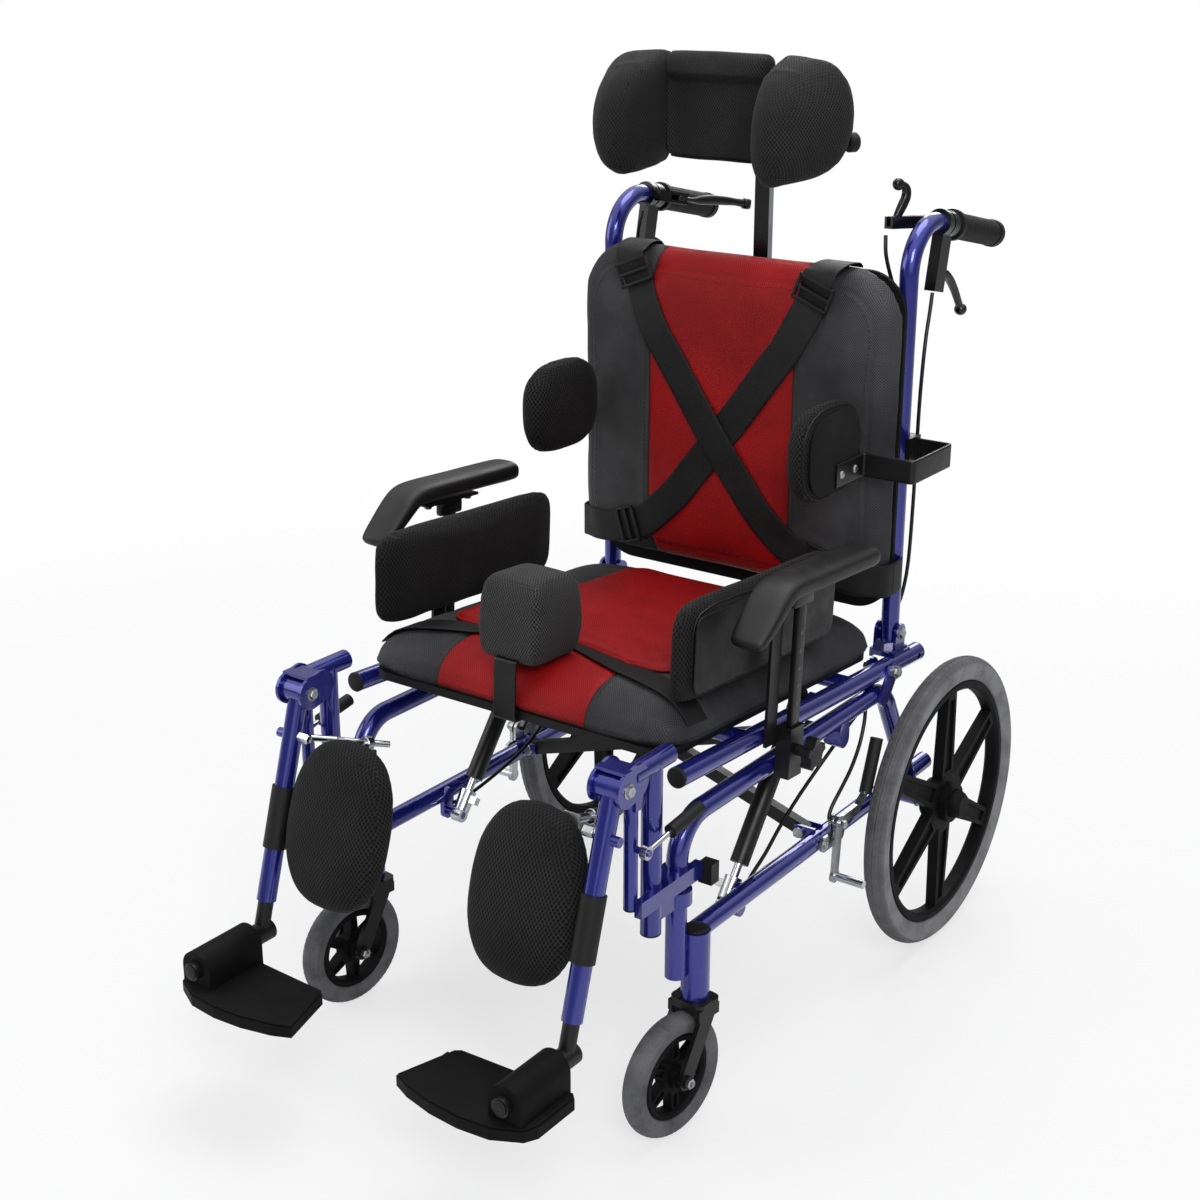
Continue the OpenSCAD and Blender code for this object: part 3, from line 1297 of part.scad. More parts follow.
// Inner tube that slides in the leg tube, with the spindle of the footplate
module foot_tube() {
    color(black) {
        at_knee() translate([leg_x, 0, -foot_s]) cylinder(h = foot_s - 76, r = foot_tube_r);
        translate([leg_x, foot_joint_y + 14, foot_z]) rotate([90, 0, 0]) cylinder(h = foot_joint_y + 14 - foot_rear_y - 1, r = 13);
        translate([leg_x, foot_rear_y + 6, foot_z]) rotate([90, 0, 0])
            cylinder(h = foot_rear_y + 6 - foot_front_y, r = foot_spindle_r);
        translate([leg_x, foot_front_y, foot_z]) rotate([90, 0, 0]) cylinder(h = 8, r = 11);
    }
}

module foot_tube_left() { on_side(1) foot_tube(); }
module foot_tube_right() { on_side(-1) foot_tube(); }

// Footplate outline in plan, with its bowed front edge
foot_rib_count = 7;
foot_rib_len = 62;
foot_inner_x = leg_x - 158;
foot_outer_x = leg_x + 33;
foot_plate_outline = [[foot_inner_x + 7, -539], [foot_inner_x + 30, -549], [foot_inner_x + 70, -558],
    [foot_inner_x + 110, -561], [foot_inner_x + 150, -557], [foot_outer_x - 8, -540], [foot_outer_x, -525],
    [foot_outer_x, -462], [foot_outer_x - 8, -454], [foot_inner_x + 36, -460], [foot_inner_x + 28, -466]];
module footplate() {
    top = foot_z - foot_barrel_r - 2;
    color(black) difference() {
        union() {
            translate([0, 0, top - footplate_t]) linear_extrude(footplate_t) polygon(foot_plate_outline);
            translate([leg_x, foot_rear_y, foot_z]) rotate([90, 0, 0])
                cylinder(h = foot_rear_y - foot_front_y - touch_gap, r = foot_barrel_r);
            block([leg_x - foot_barrel_r, foot_front_y + touch_gap, top - footplate_t], [leg_x + foot_barrel_r, foot_rear_y, foot_z]);
            for (k = [0:foot_rib_count - 1]) translate([foot_inner_x + 24 + k * 18, foot_front_y + 5, top - 1])
                cube([6, foot_rib_len, 2.4]);
        }
        translate([leg_x, foot_rear_y + over, foot_z]) rotate([90, 0, 0])
            cylinder(h = foot_rear_y - foot_front_y + 2 * over, r = foot_spindle_r + running_gap);
    }
}

module footplate_left() { on_side(1) footplate(); }
module footplate_right() { on_side(-1) footplate(); }

// Release lever of the leg ratchet: bent rod with a grip
module leg_lever() {
    x = rail_x + 20;
    color(chrome) difference() {
        union() {
            pin_x(x - 4, x + 4, ratchet_y, leg_lever_z, 8);
            rod([x, ratchet_y + 5, leg_lever_z], [x + 2, ratchet_y + 46, leg_lever_z + 8], 3);
        }
        pin_x(x - 4 - over, x + 4 + over, ratchet_y, leg_lever_z, 4 + running_gap);
    }
    color(black) rod([x + 2, ratchet_y + 44, leg_lever_z + 8], [x + 4, ratchet_y + 100, leg_lever_z + 16], 8);
}

module leg_lever_left() { on_side(1) leg_lever(); }
module leg_lever_right() { on_side(-1) leg_lever(); }

// Tilt gas springs

// Moves the origin to the lower pivot, with Z up the spring
module at_gas() {
    translate([0, gas_low_y, gas_low_z]) rotate([-gas_angle, 0, 0]) children();
}

module gas_cylinders() {
    start = gas_len - gas_eye_r + 4 - gas_cylinder_len;
    color(black) both_sides() at_gas() difference() {
        union() {
            translate([gas_x, 0, start]) cylinder(h = gas_cylinder_len, r = gas_cylinder_d / 2);
            pin_x(gas_x - 5, gas_x + 5, 0, gas_len, gas_eye_r);
            pin_x(gas_x - 7, gas_x + gas_cylinder_d / 2, 0, gas_len, pivot_bolt_r);
        }
        translate([gas_x, 0, start - over]) cylinder(h = gas_cylinder_len - 20, r = gas_rod_d / 2 + running_gap);
    }
}

// Rods with the release heads that turn on the lower pins
module gas_rods() {
    top = gas_len - gas_eye_r - 36;
    color(chrome) both_sides() at_gas() difference() {
        union() {
            translate([gas_x, 0, gas_head_len - 4]) cylinder(h = top - gas_head_len + 4, r = gas_rod_d / 2);
            translate([gas_x, 0, 6]) cylinder(h = gas_head_len - 6, r = 11);
            pin_x(gas_x - 7, gas_x + 7, 0, 0, gas_eye_r);
            translate([gas_x - 20, -5, gas_head_len - 16]) cube([12, 10, 10]);
        }
        pin_x(gas_x - 7 - over, gas_x + 7 + over, 0, 0, pivot_bolt_r + running_gap);
    }
}

side_frame_left();
side_frame_right();
cross_brace();
tilt_bolts();
lock_plates();
rear_axles();
base_cables();
caster_caps();
rear_rim_left();
rear_rim_right();
rear_tyre_left();
rear_tyre_right();
caster_fork_left();
caster_fork_right();
caster_rim_left();
caster_rim_right();
caster_tyre_left();
caster_tyre_right();
lock_lever_left();
lock_lever_right();
seat_rails();
seat_board();
seat_cushion();
hip_pads();
arm_sockets();
lap_belt();
armrest_left();
armrest_right();
pommel();
back_tubes();
back_board();
back_cushion();
back_crossbars();
harness();
back_cables();
handle_fittings();
brake_lever_left();
brake_lever_right();
release_lever_left();
release_lever_right();
lateral_support_left();
lateral_support_right();
headrest_post();
headrest_pad();
headrest_wing_left();
headrest_wing_right();
hanger_left();
hanger_right();
leg_tube_left();
leg_tube_right();
calf_pad_left();
calf_pad_right();
foot_tube_left();
foot_tube_right();
footplate_left();
footplate_right();
leg_lever_left();
leg_lever_right();
gas_cylinders();
gas_rods();
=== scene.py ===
"""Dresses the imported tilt-in-space wheelchair: materials, padding, webbing, cables and light."""
import math

import bmesh
import bpy
from mathutils import Matrix, Vector, noise
from mathutils.bvhtree import BVHTree


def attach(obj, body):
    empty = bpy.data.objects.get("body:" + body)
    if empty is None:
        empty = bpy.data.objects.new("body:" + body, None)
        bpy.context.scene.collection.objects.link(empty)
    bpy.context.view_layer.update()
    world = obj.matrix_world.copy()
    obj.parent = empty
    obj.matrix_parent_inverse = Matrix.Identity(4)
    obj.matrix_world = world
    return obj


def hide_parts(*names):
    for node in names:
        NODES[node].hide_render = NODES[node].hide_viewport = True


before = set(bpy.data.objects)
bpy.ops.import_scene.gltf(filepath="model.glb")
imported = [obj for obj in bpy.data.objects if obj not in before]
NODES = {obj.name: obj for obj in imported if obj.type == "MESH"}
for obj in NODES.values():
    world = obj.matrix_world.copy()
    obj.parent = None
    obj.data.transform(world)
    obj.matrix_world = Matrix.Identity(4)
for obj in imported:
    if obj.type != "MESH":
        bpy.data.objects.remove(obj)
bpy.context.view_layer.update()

# Places of the model, in millimetres, as the CAD source has them
TILT_Y, TILT_Z, RAKE = 250.0, 421.5, 3.4
RECLINE = (295.24, 457.88)
BACK_FRONT = 212.64
BACK_REAR = 276.64
BACK_LOW, BACK_TOP = 513.0, 940.0
PANEL_HALF = 110.0
HEAD_Z = 1128.0
HEAD_HINGE_Z = 1114.0
HEAD_POST_Y = 316.24
HEAD_REAR = 226.24
HEAD_HINGE_X, HEAD_HINGE_Y = 63.0, HEAD_REAR + 9
KNEE = (-346.0, 478.0)
LEG_ANGLE = 17.0
SEAT_LOW = 444.35
CUSHION_TOP = 504.35
AXLE = (358, 203)
FRAME_X = 240
CASTER_STEM = (252, -211)
SIDES = (("left", 1), ("right", -1))
CLOTH_FRAMES = 20

# Camera of the photograph
camera_data = bpy.data.cameras.new("photo_camera")
camera_data.lens = 56.92
camera_data.sensor_width = 36
camera_data.sensor_fit = "HORIZONTAL"
camera_data.clip_end = 300
camera = bpy.data.objects.new("photo_camera", camera_data)
bpy.context.scene.collection.objects.link(camera)
camera.location = (1.28766, -1.8410, 1.34713)
camera.rotation_euler = (math.radians(90 - 19.7643), 0, math.radians(35.7165))
bpy.context.scene.camera = camera


def mm(*values):
    """A point given in millimetres, as a vector in metres."""
    if len(values) == 1:
        values = values[0]
    return Vector(values) * 0.001


def raked_point(x, y, z):
    """A point of the level seat, in millimetres, at the slope that the seat has at rest."""
    sine, cosine = math.sin(math.radians(RAKE)), math.cos(math.radians(RAKE))
    dy, dz = y - TILT_Y, z - TILT_Z
    return Vector((x, TILT_Y + dy * cosine + dz * sine, TILT_Z - dy * sine + dz * cosine))


TILT_PIVOT = Matrix.Translation(mm(0, TILT_Y, TILT_Z))
SEAT_MATRIX = TILT_PIVOT @ Matrix.Rotation(math.radians(-RAKE), 4, "X") @ TILT_PIVOT.inverted()
KNEE_MATRIX = Matrix.Translation(mm(0, *KNEE)) @ Matrix.Rotation(math.radians(-LEG_ANGLE), 4, "X")


def circle(count, power=2):
    """Unit points round a circle, or round a squarer oval where the power is above 2."""
    for k in range(count):
        u, v = math.cos(2 * math.pi * k / count), math.sin(2 * math.pi * k / count)
        m = 1 if power == 2 else (abs(u) ** power + abs(v) ** power) ** (1 / power)
        yield u / m, v / m


# Mesh building


def add_object(name, data):
    """Puts an object in the scene."""
    made = bpy.data.objects.new(name, data)
    bpy.context.scene.collection.objects.link(made)
    return made


def from_bmesh(name, bm, smooth=True):
    """An object of what has been built in bm, with its faces turned outwards."""
    mesh = bpy.data.meshes.new(name)
    bmesh.ops.recalc_face_normals(bm, faces=bm.faces)
    bm.to_mesh(mesh)
    bm.free()
    if smooth:
        mesh.shade_smooth()
    return add_object(name, mesh)


def from_lists(name, points, faces):
    """A mesh of points in millimetres and faces, with its normals turned outwards."""
    mesh = bpy.data.meshes.new(name)
    mesh.from_pydata([Vector(p) * 0.001 for p in points], [], faces)
    bm = bmesh.new()
    bm.from_mesh(mesh)
    bpy.data.meshes.remove(mesh)
    return from_bmesh(name, bm)


def ring_faces(rows, n, caps=True):
    """The faces of a skin through rows of n points each, with both ends closed where caps is true."""
    faces = []
    for row in range(rows - 1):
        for k in range(n):
            a, b = row * n + k, row * n + (k + 1) % n
            faces.append((a, b, b + n, a + n))
    if caps:
        faces.append(tuple(range(n)))
        faces.append(tuple(range((rows - 1) * n, rows * n)))
    return faces


def loft_rings(name, rings):
    """A closed skin through rings of equal length, given in millimetres."""
    return from_lists(name, [p for ring in rings for p in ring], ring_faces(len(rings), len(rings[0])))


def apply_modifiers(obj):
    """Bakes an object's modifiers into its mesh."""
    graph = bpy.context.evaluated_depsgraph_get()
    mesh = bpy.data.meshes.new_from_object(obj.evaluated_get(graph), depsgraph=graph)
    obj.modifiers.clear()
    old = obj.data
    obj.data = mesh
    bpy.data.meshes.remove(old)
    return obj


def subdivide(obj, levels=1):
    """Smooths a mesh by splitting its faces."""
    changed = obj.modifiers.new("smooth", "SUBSURF")
    changed.levels = levels
    changed.render_levels = levels
    return apply_modifiers(obj)


def bevel(obj, width, segments=3, angle=40):
    """Rounds the edges where faces meet at more than an angle; the width is in millimetres."""
    changed = obj.modifiers.new("edge", "BEVEL")
    changed.width = width * 0.001
    changed.segments = segments
    changed.limit_method = "ANGLE"
    changed.angle_limit = math.radians(angle)
    return apply_modifiers(obj)


def merge(name, parts):
    """Joins objects into one, keeping each part's materials."""
    slots, bm = [], bmesh.new()
    for part in parts:
        start = len(bm.faces)
        part.data.transform(part.matrix_world)
        bm.from_mesh(part.data)
        bm.faces.ensure_lookup_table()
        offsets = {}
        for i, m in enumerate(part.data.materials):
            if m not in slots:
                slots.append(m)
            offsets[i] = slots.index(m)
        for f in bm.faces[start:]:
            f.material_index = offsets.get(f.material_index, 0)
    mesh = bpy.data.meshes.new(name)
    bm.to_mesh(mesh)
    bm.free()
    for m in slots:
        mesh.materials.append(m)
    for part in parts:
        bpy.data.objects.remove(part)
    return add_object(name, mesh)


def box_part(name, low, high, round_mm=1.0, segments=2, matrix=None, paint=None):
    """A block between two corners in millimetres, with rounded edges."""
    bm = bmesh.new()
    bmesh.ops.create_cube(bm, size=1)
    low, high = mm(low), mm(high)
    for v in bm.verts:
        v.co = Vector((low[i] + (v.co[i] + 0.5) * (high[i] - low[i]) for i in range(3)))
    made = from_bmesh(name, bm)
    if round_mm:
        bevel(made, round_mm, segments)
    return finish_part(made, matrix, paint)


def side_box(name, s, x, y, z, round_mm=1.0, segments=2, matrix=None, paint=None):
    """A block on the side s of the chair; x, y and z are each two limits in millimetres."""
    x = sorted((s * x[0], s * x[1]))
    return box_part(name, (x[0], y[0], z[0]), (x[1], y[1], z[1]), round_mm, segments, matrix, paint)


def finish_part(made, matrix=None, paint=None, sharp=35):
    """Places a part, paints it and sets its shading."""
    if matrix is not None:
        made.data.transform(matrix)
    if paint is not None:
        made.data.materials.clear()
        made.data.materials.append(paint)
    set_sharp(made, sharp)
    return made


def set_sharp(obj, angle=35):
    """Smooth shading with sharp edges where faces meet at more than an angle."""
    mesh = obj.data
    mesh.shade_smooth()
    bm = bmesh.new()
    bm.from_mesh(mesh)
    limit = math.radians(angle)
    for e in bm.edges:
        e.smooth = not (e.is_manifold and e.calc_face_angle(0) > limit)
    bm.to_mesh(mesh)
    bm.free()


def basis(direction):
    """Two directions square to one direction."""
    d = direction.normalized()
    other = Vector((0, 0, 1)) if abs(d.z) < 0.9 else Vector((1, 0, 0))
    u = d.cross(other).normalized()
    return u, d.cross(u).normalized()


def turned(name, start, direction, profile, sides=32, matrix=None, paint=None, sharp=35):
    """A turned solid: the profile is a list of (distance along, radius) in millimetres."""
    d = Vector(direction).normalized()
    u, v = basis(d)
    start = Vector(start)
    rings = []
    for along, r in profile:
        rings.append([start + d * along + (u * a + v * b) * max(r, 0.01) for a, b in circle(sides)])
    return finish_part(loft_rings(name, rings), matrix, paint, sharp)


def rod_part(name, start, end, r, edge=0.8, sides=24, matrix=None, paint=None):
    """A round rod between two points in millimetres, with chamfered ends."""
    start, end = Vector(start), Vector(end)
    length = (end - start).length
    profile = [(0, r - edge), (edge, r), (length - edge, r), (length, r - edge)]
    return turned(name, start, end - start, profile, sides, matrix, paint)


def smooth_route(route, parts=6):
    """Points along a smooth curve through all the points of a route."""
    route = [Vector(p) for p in route]
    points = []
    for i in range(len(route) - 1):
        p, q = route[i], route[i + 1]
        before = route[i - 1] if i else 2 * p - q
        after = route[i + 2] if i < len(route) - 2 else 2 * q - p
        for k in range(parts):
            t = k / parts
            bend = 2 * before - 5 * p + 4 * q - after
            twist = 3 * p - before - 3 * q + after
            points.append(0.5 * (2 * p + t * (q - before) + t * t * bend + t**3 * twist))
    points.append(route[-1])
    return points


def tube_part(name, route, r, sides=16, matrix=None, paint=None, caps=True):
    """A round bar along points in millimetres, with its rings turned along without twist."""
    route = [Vector(p) for p in route]
    n = len(route)
    radii = r if isinstance(r, (list, tuple)) else [r] * n
    ahead = [(route[min(i + 1, n - 1)] - route[max(i - 1, 0)]).normalized() for i in range(n)]
    u = basis(ahead[0])[0]
    points = []
    for i in range(n):
        u = (u - ahead[i] * u.dot(ahead[i])).normalized()
        v = ahead[i].cross(u)
        points += [route[i] + (u * a + v * b) * radii[i] for a, b in circle(sides)]
    return finish_part(from_lists(name, points, ring_faces(n, sides, caps)), matrix, paint)


def strap_part(name, route, across, width, thickness, matrix=None, paint=None, edge=0.5):
    """A flat band with rounded edges along points in millimetres; across is the direction of its width."""
    route = [Vector(p) for p in route]
    n = len(route)
    h, w = thickness / 2, width / 2
    ring = [(-w, -h + edge), (-w, h - edge), (-w + edge, h)]
    ring += [(w * share, h) for share in (-0.8, -0.3, 0.3, 0.8)] + [(w - edge, h)]
    ring += [(-x, -y) for x, y in ring]
    rings = []
    for i in range(n):
        d = (route[min(i + 1, n - 1)] - route[max(i - 1, 0)]).normalized()
        a = Vector(across[i] if isinstance(across, list) else across)
        a = (a - d * a.dot(d)).normalized()
        up = a.cross(d).normalized()
        rings.append([route[i] + a * x + up * y for x, y in ring])
    return finish_part(loft_rings(name, rings), matrix, paint, 50)


def plate_part(name, outline, low, high, axis="Z", round_mm=1.2, matrix=None, paint=None):
    """A flat outline in millimetres, given thickness along an axis."""
    place = {
        "X": lambda a, b, c: (c, a, b),
        "Y": lambda a, b, c: (a, c, b),
        "Z": lambda a, b, c: (a, b, c),
    }[axis]
    n = len(outline)
    points = [place(a, b, low) for a, b in outline] + [place(a, b, high) for a, b in outline]
    faces = [tuple(range(n)), tuple(range(2 * n - 1, n - 1, -1))]
    faces += [(i, (i + 1) % n, n + (i + 1) % n, n + i) for i in range(n)]
    made = from_lists(name, points, faces)
    if round_mm:
        bevel(made, round_mm, 2, 30)
    return finish_part(made, matrix, paint)


def rounded_outline(points, radius):
    """An outline whose corners are cut round, each in five steps."""
    parts = 5
    points = [Vector((p[0], p[1])) for p in points]
    n, made = len(points), []
    for i in range(n):
        p, before, after = points[i], points[i - 1], points[(i + 1) % n]
        r = min(radius, (before - p).length * 0.45, (after - p).length * 0.45)
        a, b = p + (before - p).normalized() * r, p + (after - p).normalized() * r
        for k in range(parts + 1):
            t = k / parts
            made.append(tuple((1 - t) ** 2 * a + 2 * t * (1 - t) * p + t * t * b))
    return made


def pad_mesh(name, size, exponent, crown=0.0, pull=0.0, lip=0.5, cells=28, edge_power=2.2, edge_turn=6):
    """A closed pad in its own frame, centred on X and Y, from z = 0 to size z plus its crown.

    The exponent squares its corners, pull draws its sides in, and lip is the rounded share of its height.
    """
    def place(u, v, top):
        m = max(abs(u), abs(v))
        q = 1 if m == 0 else m / (abs(u) ** exponent + abs(v) ** exponent) ** (1 / exponent)
        rise = max(0.0, 1 - m**edge_turn) ** (1 / edge_power)
        x = size[0] / 2 * u * q * (1 - pull * (1 - v * v))
        y = size[1] / 2 * v * q * (1 - pull * (1 - u * u))
        if top:
            return (x, y, size[2] * (1 - lip) + size[2] * lip * rise + crown * (1 - u * u) * (1 - v * v))
        return (x, y, size[2] * (1 - lip) * (1 - rise))

    def share(i, n):
        t = 2 * i / n - 1
        return math.copysign(1 - (1 - abs(t)) ** 1.35, t)

    nx = cells
    ny = max(6, round(cells * size[1] / size[0]))
    us = [share(i, nx) for i in range(nx + 1)]
    vs = [share(j, ny) for j in range(ny + 1)]
    points = [place(u, v, True) for v in vs for u in us] + [place(u, v, False) for v in vs for u in us]
    w, half = nx + 1, (nx + 1) * (ny + 1)
    faces = []
    for j in range(ny):
        for i in range(nx):
            a = j * w + i
            faces.append((a, a + 1, a + w + 1, a + w))
            faces.append((half + a, half + a + w, half + a + w + 1, half + a + 1))
    ring = list(range(w)) + [j * w + nx for j in range(1, ny + 1)]
    ring += [ny * w + i for i in range(nx - 1, -1, -1)]
    ring += [j * w for j in range(ny - 1, 0, -1)]
    for i, a in enumerate(ring):
        b = ring[(i + 1) % len(ring)]
        faces.append((a, half + a, half + b, b))
    return from_lists(name, points, faces)


def inflate(obj, voxel, cap):
    """Pads a closed mesh by a short cloth simulation under pressure, with its movement capped, in metres."""
    changed = obj.modifiers.new("remesh", "REMESH")
    changed.mode = "VOXEL"
    changed.voxel_size = voxel
    changed.use_smooth_shade = True
    apply_modifiers(obj)
    rest = [v.co.copy() for v in obj.data.vertices]
    cloth = obj.modifiers.new("cloth", "CLOTH")
    cloth.settings.quality = 5
    cloth.settings.use_pressure = True
    cloth.settings.uniform_pressure_force = 4
    cloth.settings.effector_weights.gravity = 0
    cloth.settings.tension_stiffness = 15
    cloth.settings.compression_stiffness = 15
    cloth.settings.bending_stiffness = 1.5
    cloth.collision_settings.use_collision = False
    cloth.point_cache.frame_start = 1
    cloth.point_cache.frame_end = CLOTH_FRAMES
    for at in range(1, CLOTH_FRAMES + 1):
        bpy.context.scene.frame_set(at)
    graph = bpy.context.evaluated_depsgraph_get()
    moved = [v.co.copy() for v in obj.evaluated_get(graph).data.vertices]
    obj.modifiers.clear()
    bpy.context.scene.frame_set(1)
    for v, a, b in zip(obj.data.vertices, rest, moved):
        step = b - a
        if step.length > cap:
            step = step.normalized() * cap
        v.co = a + step
    return subdivide(obj)


def fit_box(obj, low, high):
    """Scales a pad in its own frame so that it fills a box given in millimetres."""
    points = [v.co.copy() for v in obj.data.vertices]
    start = [min(p[k] for p in points) for k in range(3)]
    end = [max(p[k] for p in points) for k in range(3)]
    for v, p in zip(obj.data.vertices, points):
        shares = [(p[k] - start[k]) / (end[k] - start[k]) for k in range(3)]
        v.co = mm([low[k] + shares[k] * (high[k] - low[k]) for k in range(3)])
    obj.data.update()


def displace(obj, change):
    """Moves every point by what change gives for its place and normal, both in metres."""
    mesh = obj.data
    normals = [v.normal.copy() for v in mesh.vertices]
    for v, n in zip(mesh.vertices, normals):
        step = change(v.co, n)
        if step:
            v.co = v.co + step
    mesh.update()


def groove(distance, width):
    """1 in the middle of a seam and 0 away from it."""
    return math.exp(-((distance / width) ** 2))


def surface(obj):
    """A search tree of an object's faces."""
    graph = bpy.context.evaluated_depsgraph_get()
    return BVHTree.FromObject(obj, graph)


# Materials


def srgb(*values):
    """A colour given as 0 to 255 sRGB numbers, as linear RGBA."""
    made = []
    for value in values:
        c = value / 255
        made.append(c / 12.92 if c <= 0.04045 else ((c + 0.055) / 1.055) ** 2.4)
    return (*made, 1.0)


class Graph:
    """Short ways to build a shader's nodes."""

    def __init__(self, tree):
        self.tree = tree

    def node(self, kind, **settings):
        made = self.tree.nodes.new("ShaderNode" + kind)
        for key, value in settings.items():
            setattr(made, key, value)
        return made

    def put(self, socket, value):
        if isinstance(value, bpy.types.NodeSocket):
            self.tree.links.new(value, socket)
        elif value is not None:
            socket.default_value = value

    def math(self, kind, a, b=None):
        made = self.node("Math", operation=kind)
        for socket, value in zip(made.inputs, (a, b)):
            self.put(socket, value)
        return made.outputs[0]

    def vector(self, kind, a, b=None):
        made = self.node("VectorMath", operation=kind)
        self.put(made.inputs[0], a)
        if b is not None:
            self.put(made.inputs[1], b)
        return made.outputs["Value"] if kind in ("LENGTH", "DOT_PRODUCT") else made.outputs[0]

    def split(self, vector):
        made = self.node("SeparateXYZ")
        self.put(made.inputs[0], vector)
        return made.outputs

    def join(self, x, y, z):
        made = self.node("CombineXYZ")
        for socket, value in zip(made.inputs, (x, y, z)):
            self.put(socket, value)
        return made.outputs[0]

    def mix(self, share, a, b):
        made = self.node("Mix", data_type="RGBA")
        self.put(made.inputs[0], share)
        self.put(made.inputs[6], a)
        self.put(made.inputs[7], b)
        return made.outputs[2]

    def noise(self, vector, scale, detail=3.0, rough=0.5):
        made = self.node("TexNoise")
        self.put(made.inputs["Vector"], vector)
        made.inputs["Scale"].default_value = scale
        made.inputs["Detail"].default_value = detail
        made.inputs["Roughness"].default_value = rough
        return made.outputs["Fac"]

    def cells(self, vector, scale, feature="F1", out="Distance"):
        made = self.node("TexVoronoi", feature=feature)
        self.put(made.inputs["Vector"], vector)
        made.inputs["Scale"].default_value = scale
        return made.outputs[out]

    def spread(self, value, low, high, to_low=0.0, to_high=1.0, kind="LINEAR"):
        made = self.node("MapRange", interpolation_type=kind)
        for socket, given in zip(made.inputs, (value, low, high, to_low, to_high)):
            self.put(socket, given)
        return made.outputs[0]

    def step(self, value, low, high, to_low=0.0, to_high=1.0):
        return self.spread(value, low, high, to_low, to_high, "SMOOTHSTEP")

    def bump(self, height, distance, strength):
        made = self.node("Bump")
        made.inputs["Strength"].default_value = strength
        made.inputs["Distance"].default_value = distance
        self.put(made.inputs["Height"], height)
        return made.outputs[0]


def material(name, build, metallic=0.0, rough=0.5, coat=0.0, coat_rough=0.03, specular=0.5, sheen=0.0):
    """A material whose build function sets its colour, roughness and normal from nodes."""
    made = bpy.data.materials.new(name)
    made.use_nodes = True
    tree = made.node_tree
    tree.nodes.clear()
    out = tree.nodes.new("ShaderNodeOutputMaterial")
    shader = tree.nodes.new("ShaderNodeBsdfPrincipled")
    tree.links.new(shader.outputs[0], out.inputs[0])
    settings = {
        "Metallic": metallic, "Roughness": rough, "Coat Weight": coat, "Coat Roughness": coat_rough,
        "Specular IOR Level": specular, "Sheen Weight": sheen, "Sheen Roughness": 0.45,
    }
    for socket, value in settings.items():
        shader.inputs[socket].default_value = value
    graph = Graph(tree)
    place = tree.nodes.new("ShaderNodeTexCoord")
    color, roughness, normal = build(graph, place.outputs["Object"], place.outputs["Normal"])
    graph.put(shader.inputs["Base Color"], color)
    graph.put(shader.inputs["Roughness"], roughness)
    graph.put(shader.inputs["Normal"], normal)
    return made


def lattice_group():
    """Open mesh cloth seen from any side: 1 in the middle of each hole and 0 on the threads."""
    tree = bpy.data.node_groups.new("open_mesh", "ShaderNodeTree")
    for name, kind in (("Place", "Vector"), ("Normal", "Vector"), ("Cell", "Float"), ("Stretch", "Float")):
        tree.interface.new_socket(name, in_out="INPUT", socket_type="NodeSocket" + kind)
    tree.interface.new_socket("Hole", in_out="OUTPUT", socket_type="NodeSocketFloat")
    graph = Graph(tree)
    source = tree.nodes.new("NodeGroupInput")
    out = tree.nodes.new("NodeGroupOutput")
    place = graph.split(source.outputs["Place"])
    normal = graph.split(source.outputs["Normal"])
    turn = graph.math("DIVIDE", math.pi, source.outputs["Cell"])
    weights = [graph.math("POWER", graph.math("ABSOLUTE", n), 6.0) for n in normal]
    total = graph.math("ADD", graph.math("ADD", weights[0], weights[1]), graph.math("ADD", weights[2], 1e-5))
    made = None
    for plane, weight in (((1, 2), weights[0]), ((0, 2), weights[1]), ((0, 1), weights[2])):
        a = graph.math("MULTIPLY", place[plane[0]], turn)
        b = graph.math("MULTIPLY", graph.math("MULTIPLY", place[plane[1]], turn), source.outputs["Stretch"])
        one = graph.math("ABSOLUTE", graph.math("SINE", graph.math("ADD", a, b)))
        two = graph.math("ABSOLUTE", graph.math("SINE", graph.math("SUBTRACT", a, b)))
        hole = graph.math("MULTIPLY", graph.math("MULTIPLY", one, two), graph.math("DIVIDE", weight, total))
        made = hole if made is None else graph.math("ADD", made, hole)
    tree.links.new(made, out.inputs[0])
    return tree


LATTICE = lattice_group()


def open_mesh(graph, place, normal, cell, stretch):
    """The open mesh pattern, with holes one cell wide, in metres."""
    made = graph.node("Group")
    made.node_tree = LATTICE
    graph.put(made.inputs["Place"], place)
    graph.put(made.inputs["Normal"], normal)
    made.inputs["Cell"].default_value = cell
    made.inputs["Stretch"].default_value = stretch
    return made.outputs[0]


def paint_blue(graph, place, normal):
    """Deep blue metallic paint: fine flakes, slight orange peel and darker blue clouds at random."""
    flakes = graph.cells(place, 1900, out="Color")
    bright = graph.math("MULTIPLY", graph.split(flakes)[0], 0.28)
    base = graph.mix(bright, srgb(20, 26, 122), srgb(66, 76, 196))
    cloud = graph.step(graph.noise(place, 9, 3), 0.35, 0.7)
    color = graph.mix(graph.math("MULTIPLY", cloud, 0.35), base, srgb(15, 19, 92))
    rough = graph.spread(graph.noise(place, 60, 4), 0.3, 0.75, 0.16, 0.28)
    return color, rough, graph.bump(graph.noise(place, 420, 2), 0.00008, 0.25)


def grey(shade, blue=0):
    """A neutral colour, or one that leans a little to blue."""
    return srgb(shade, shade, shade + blue)


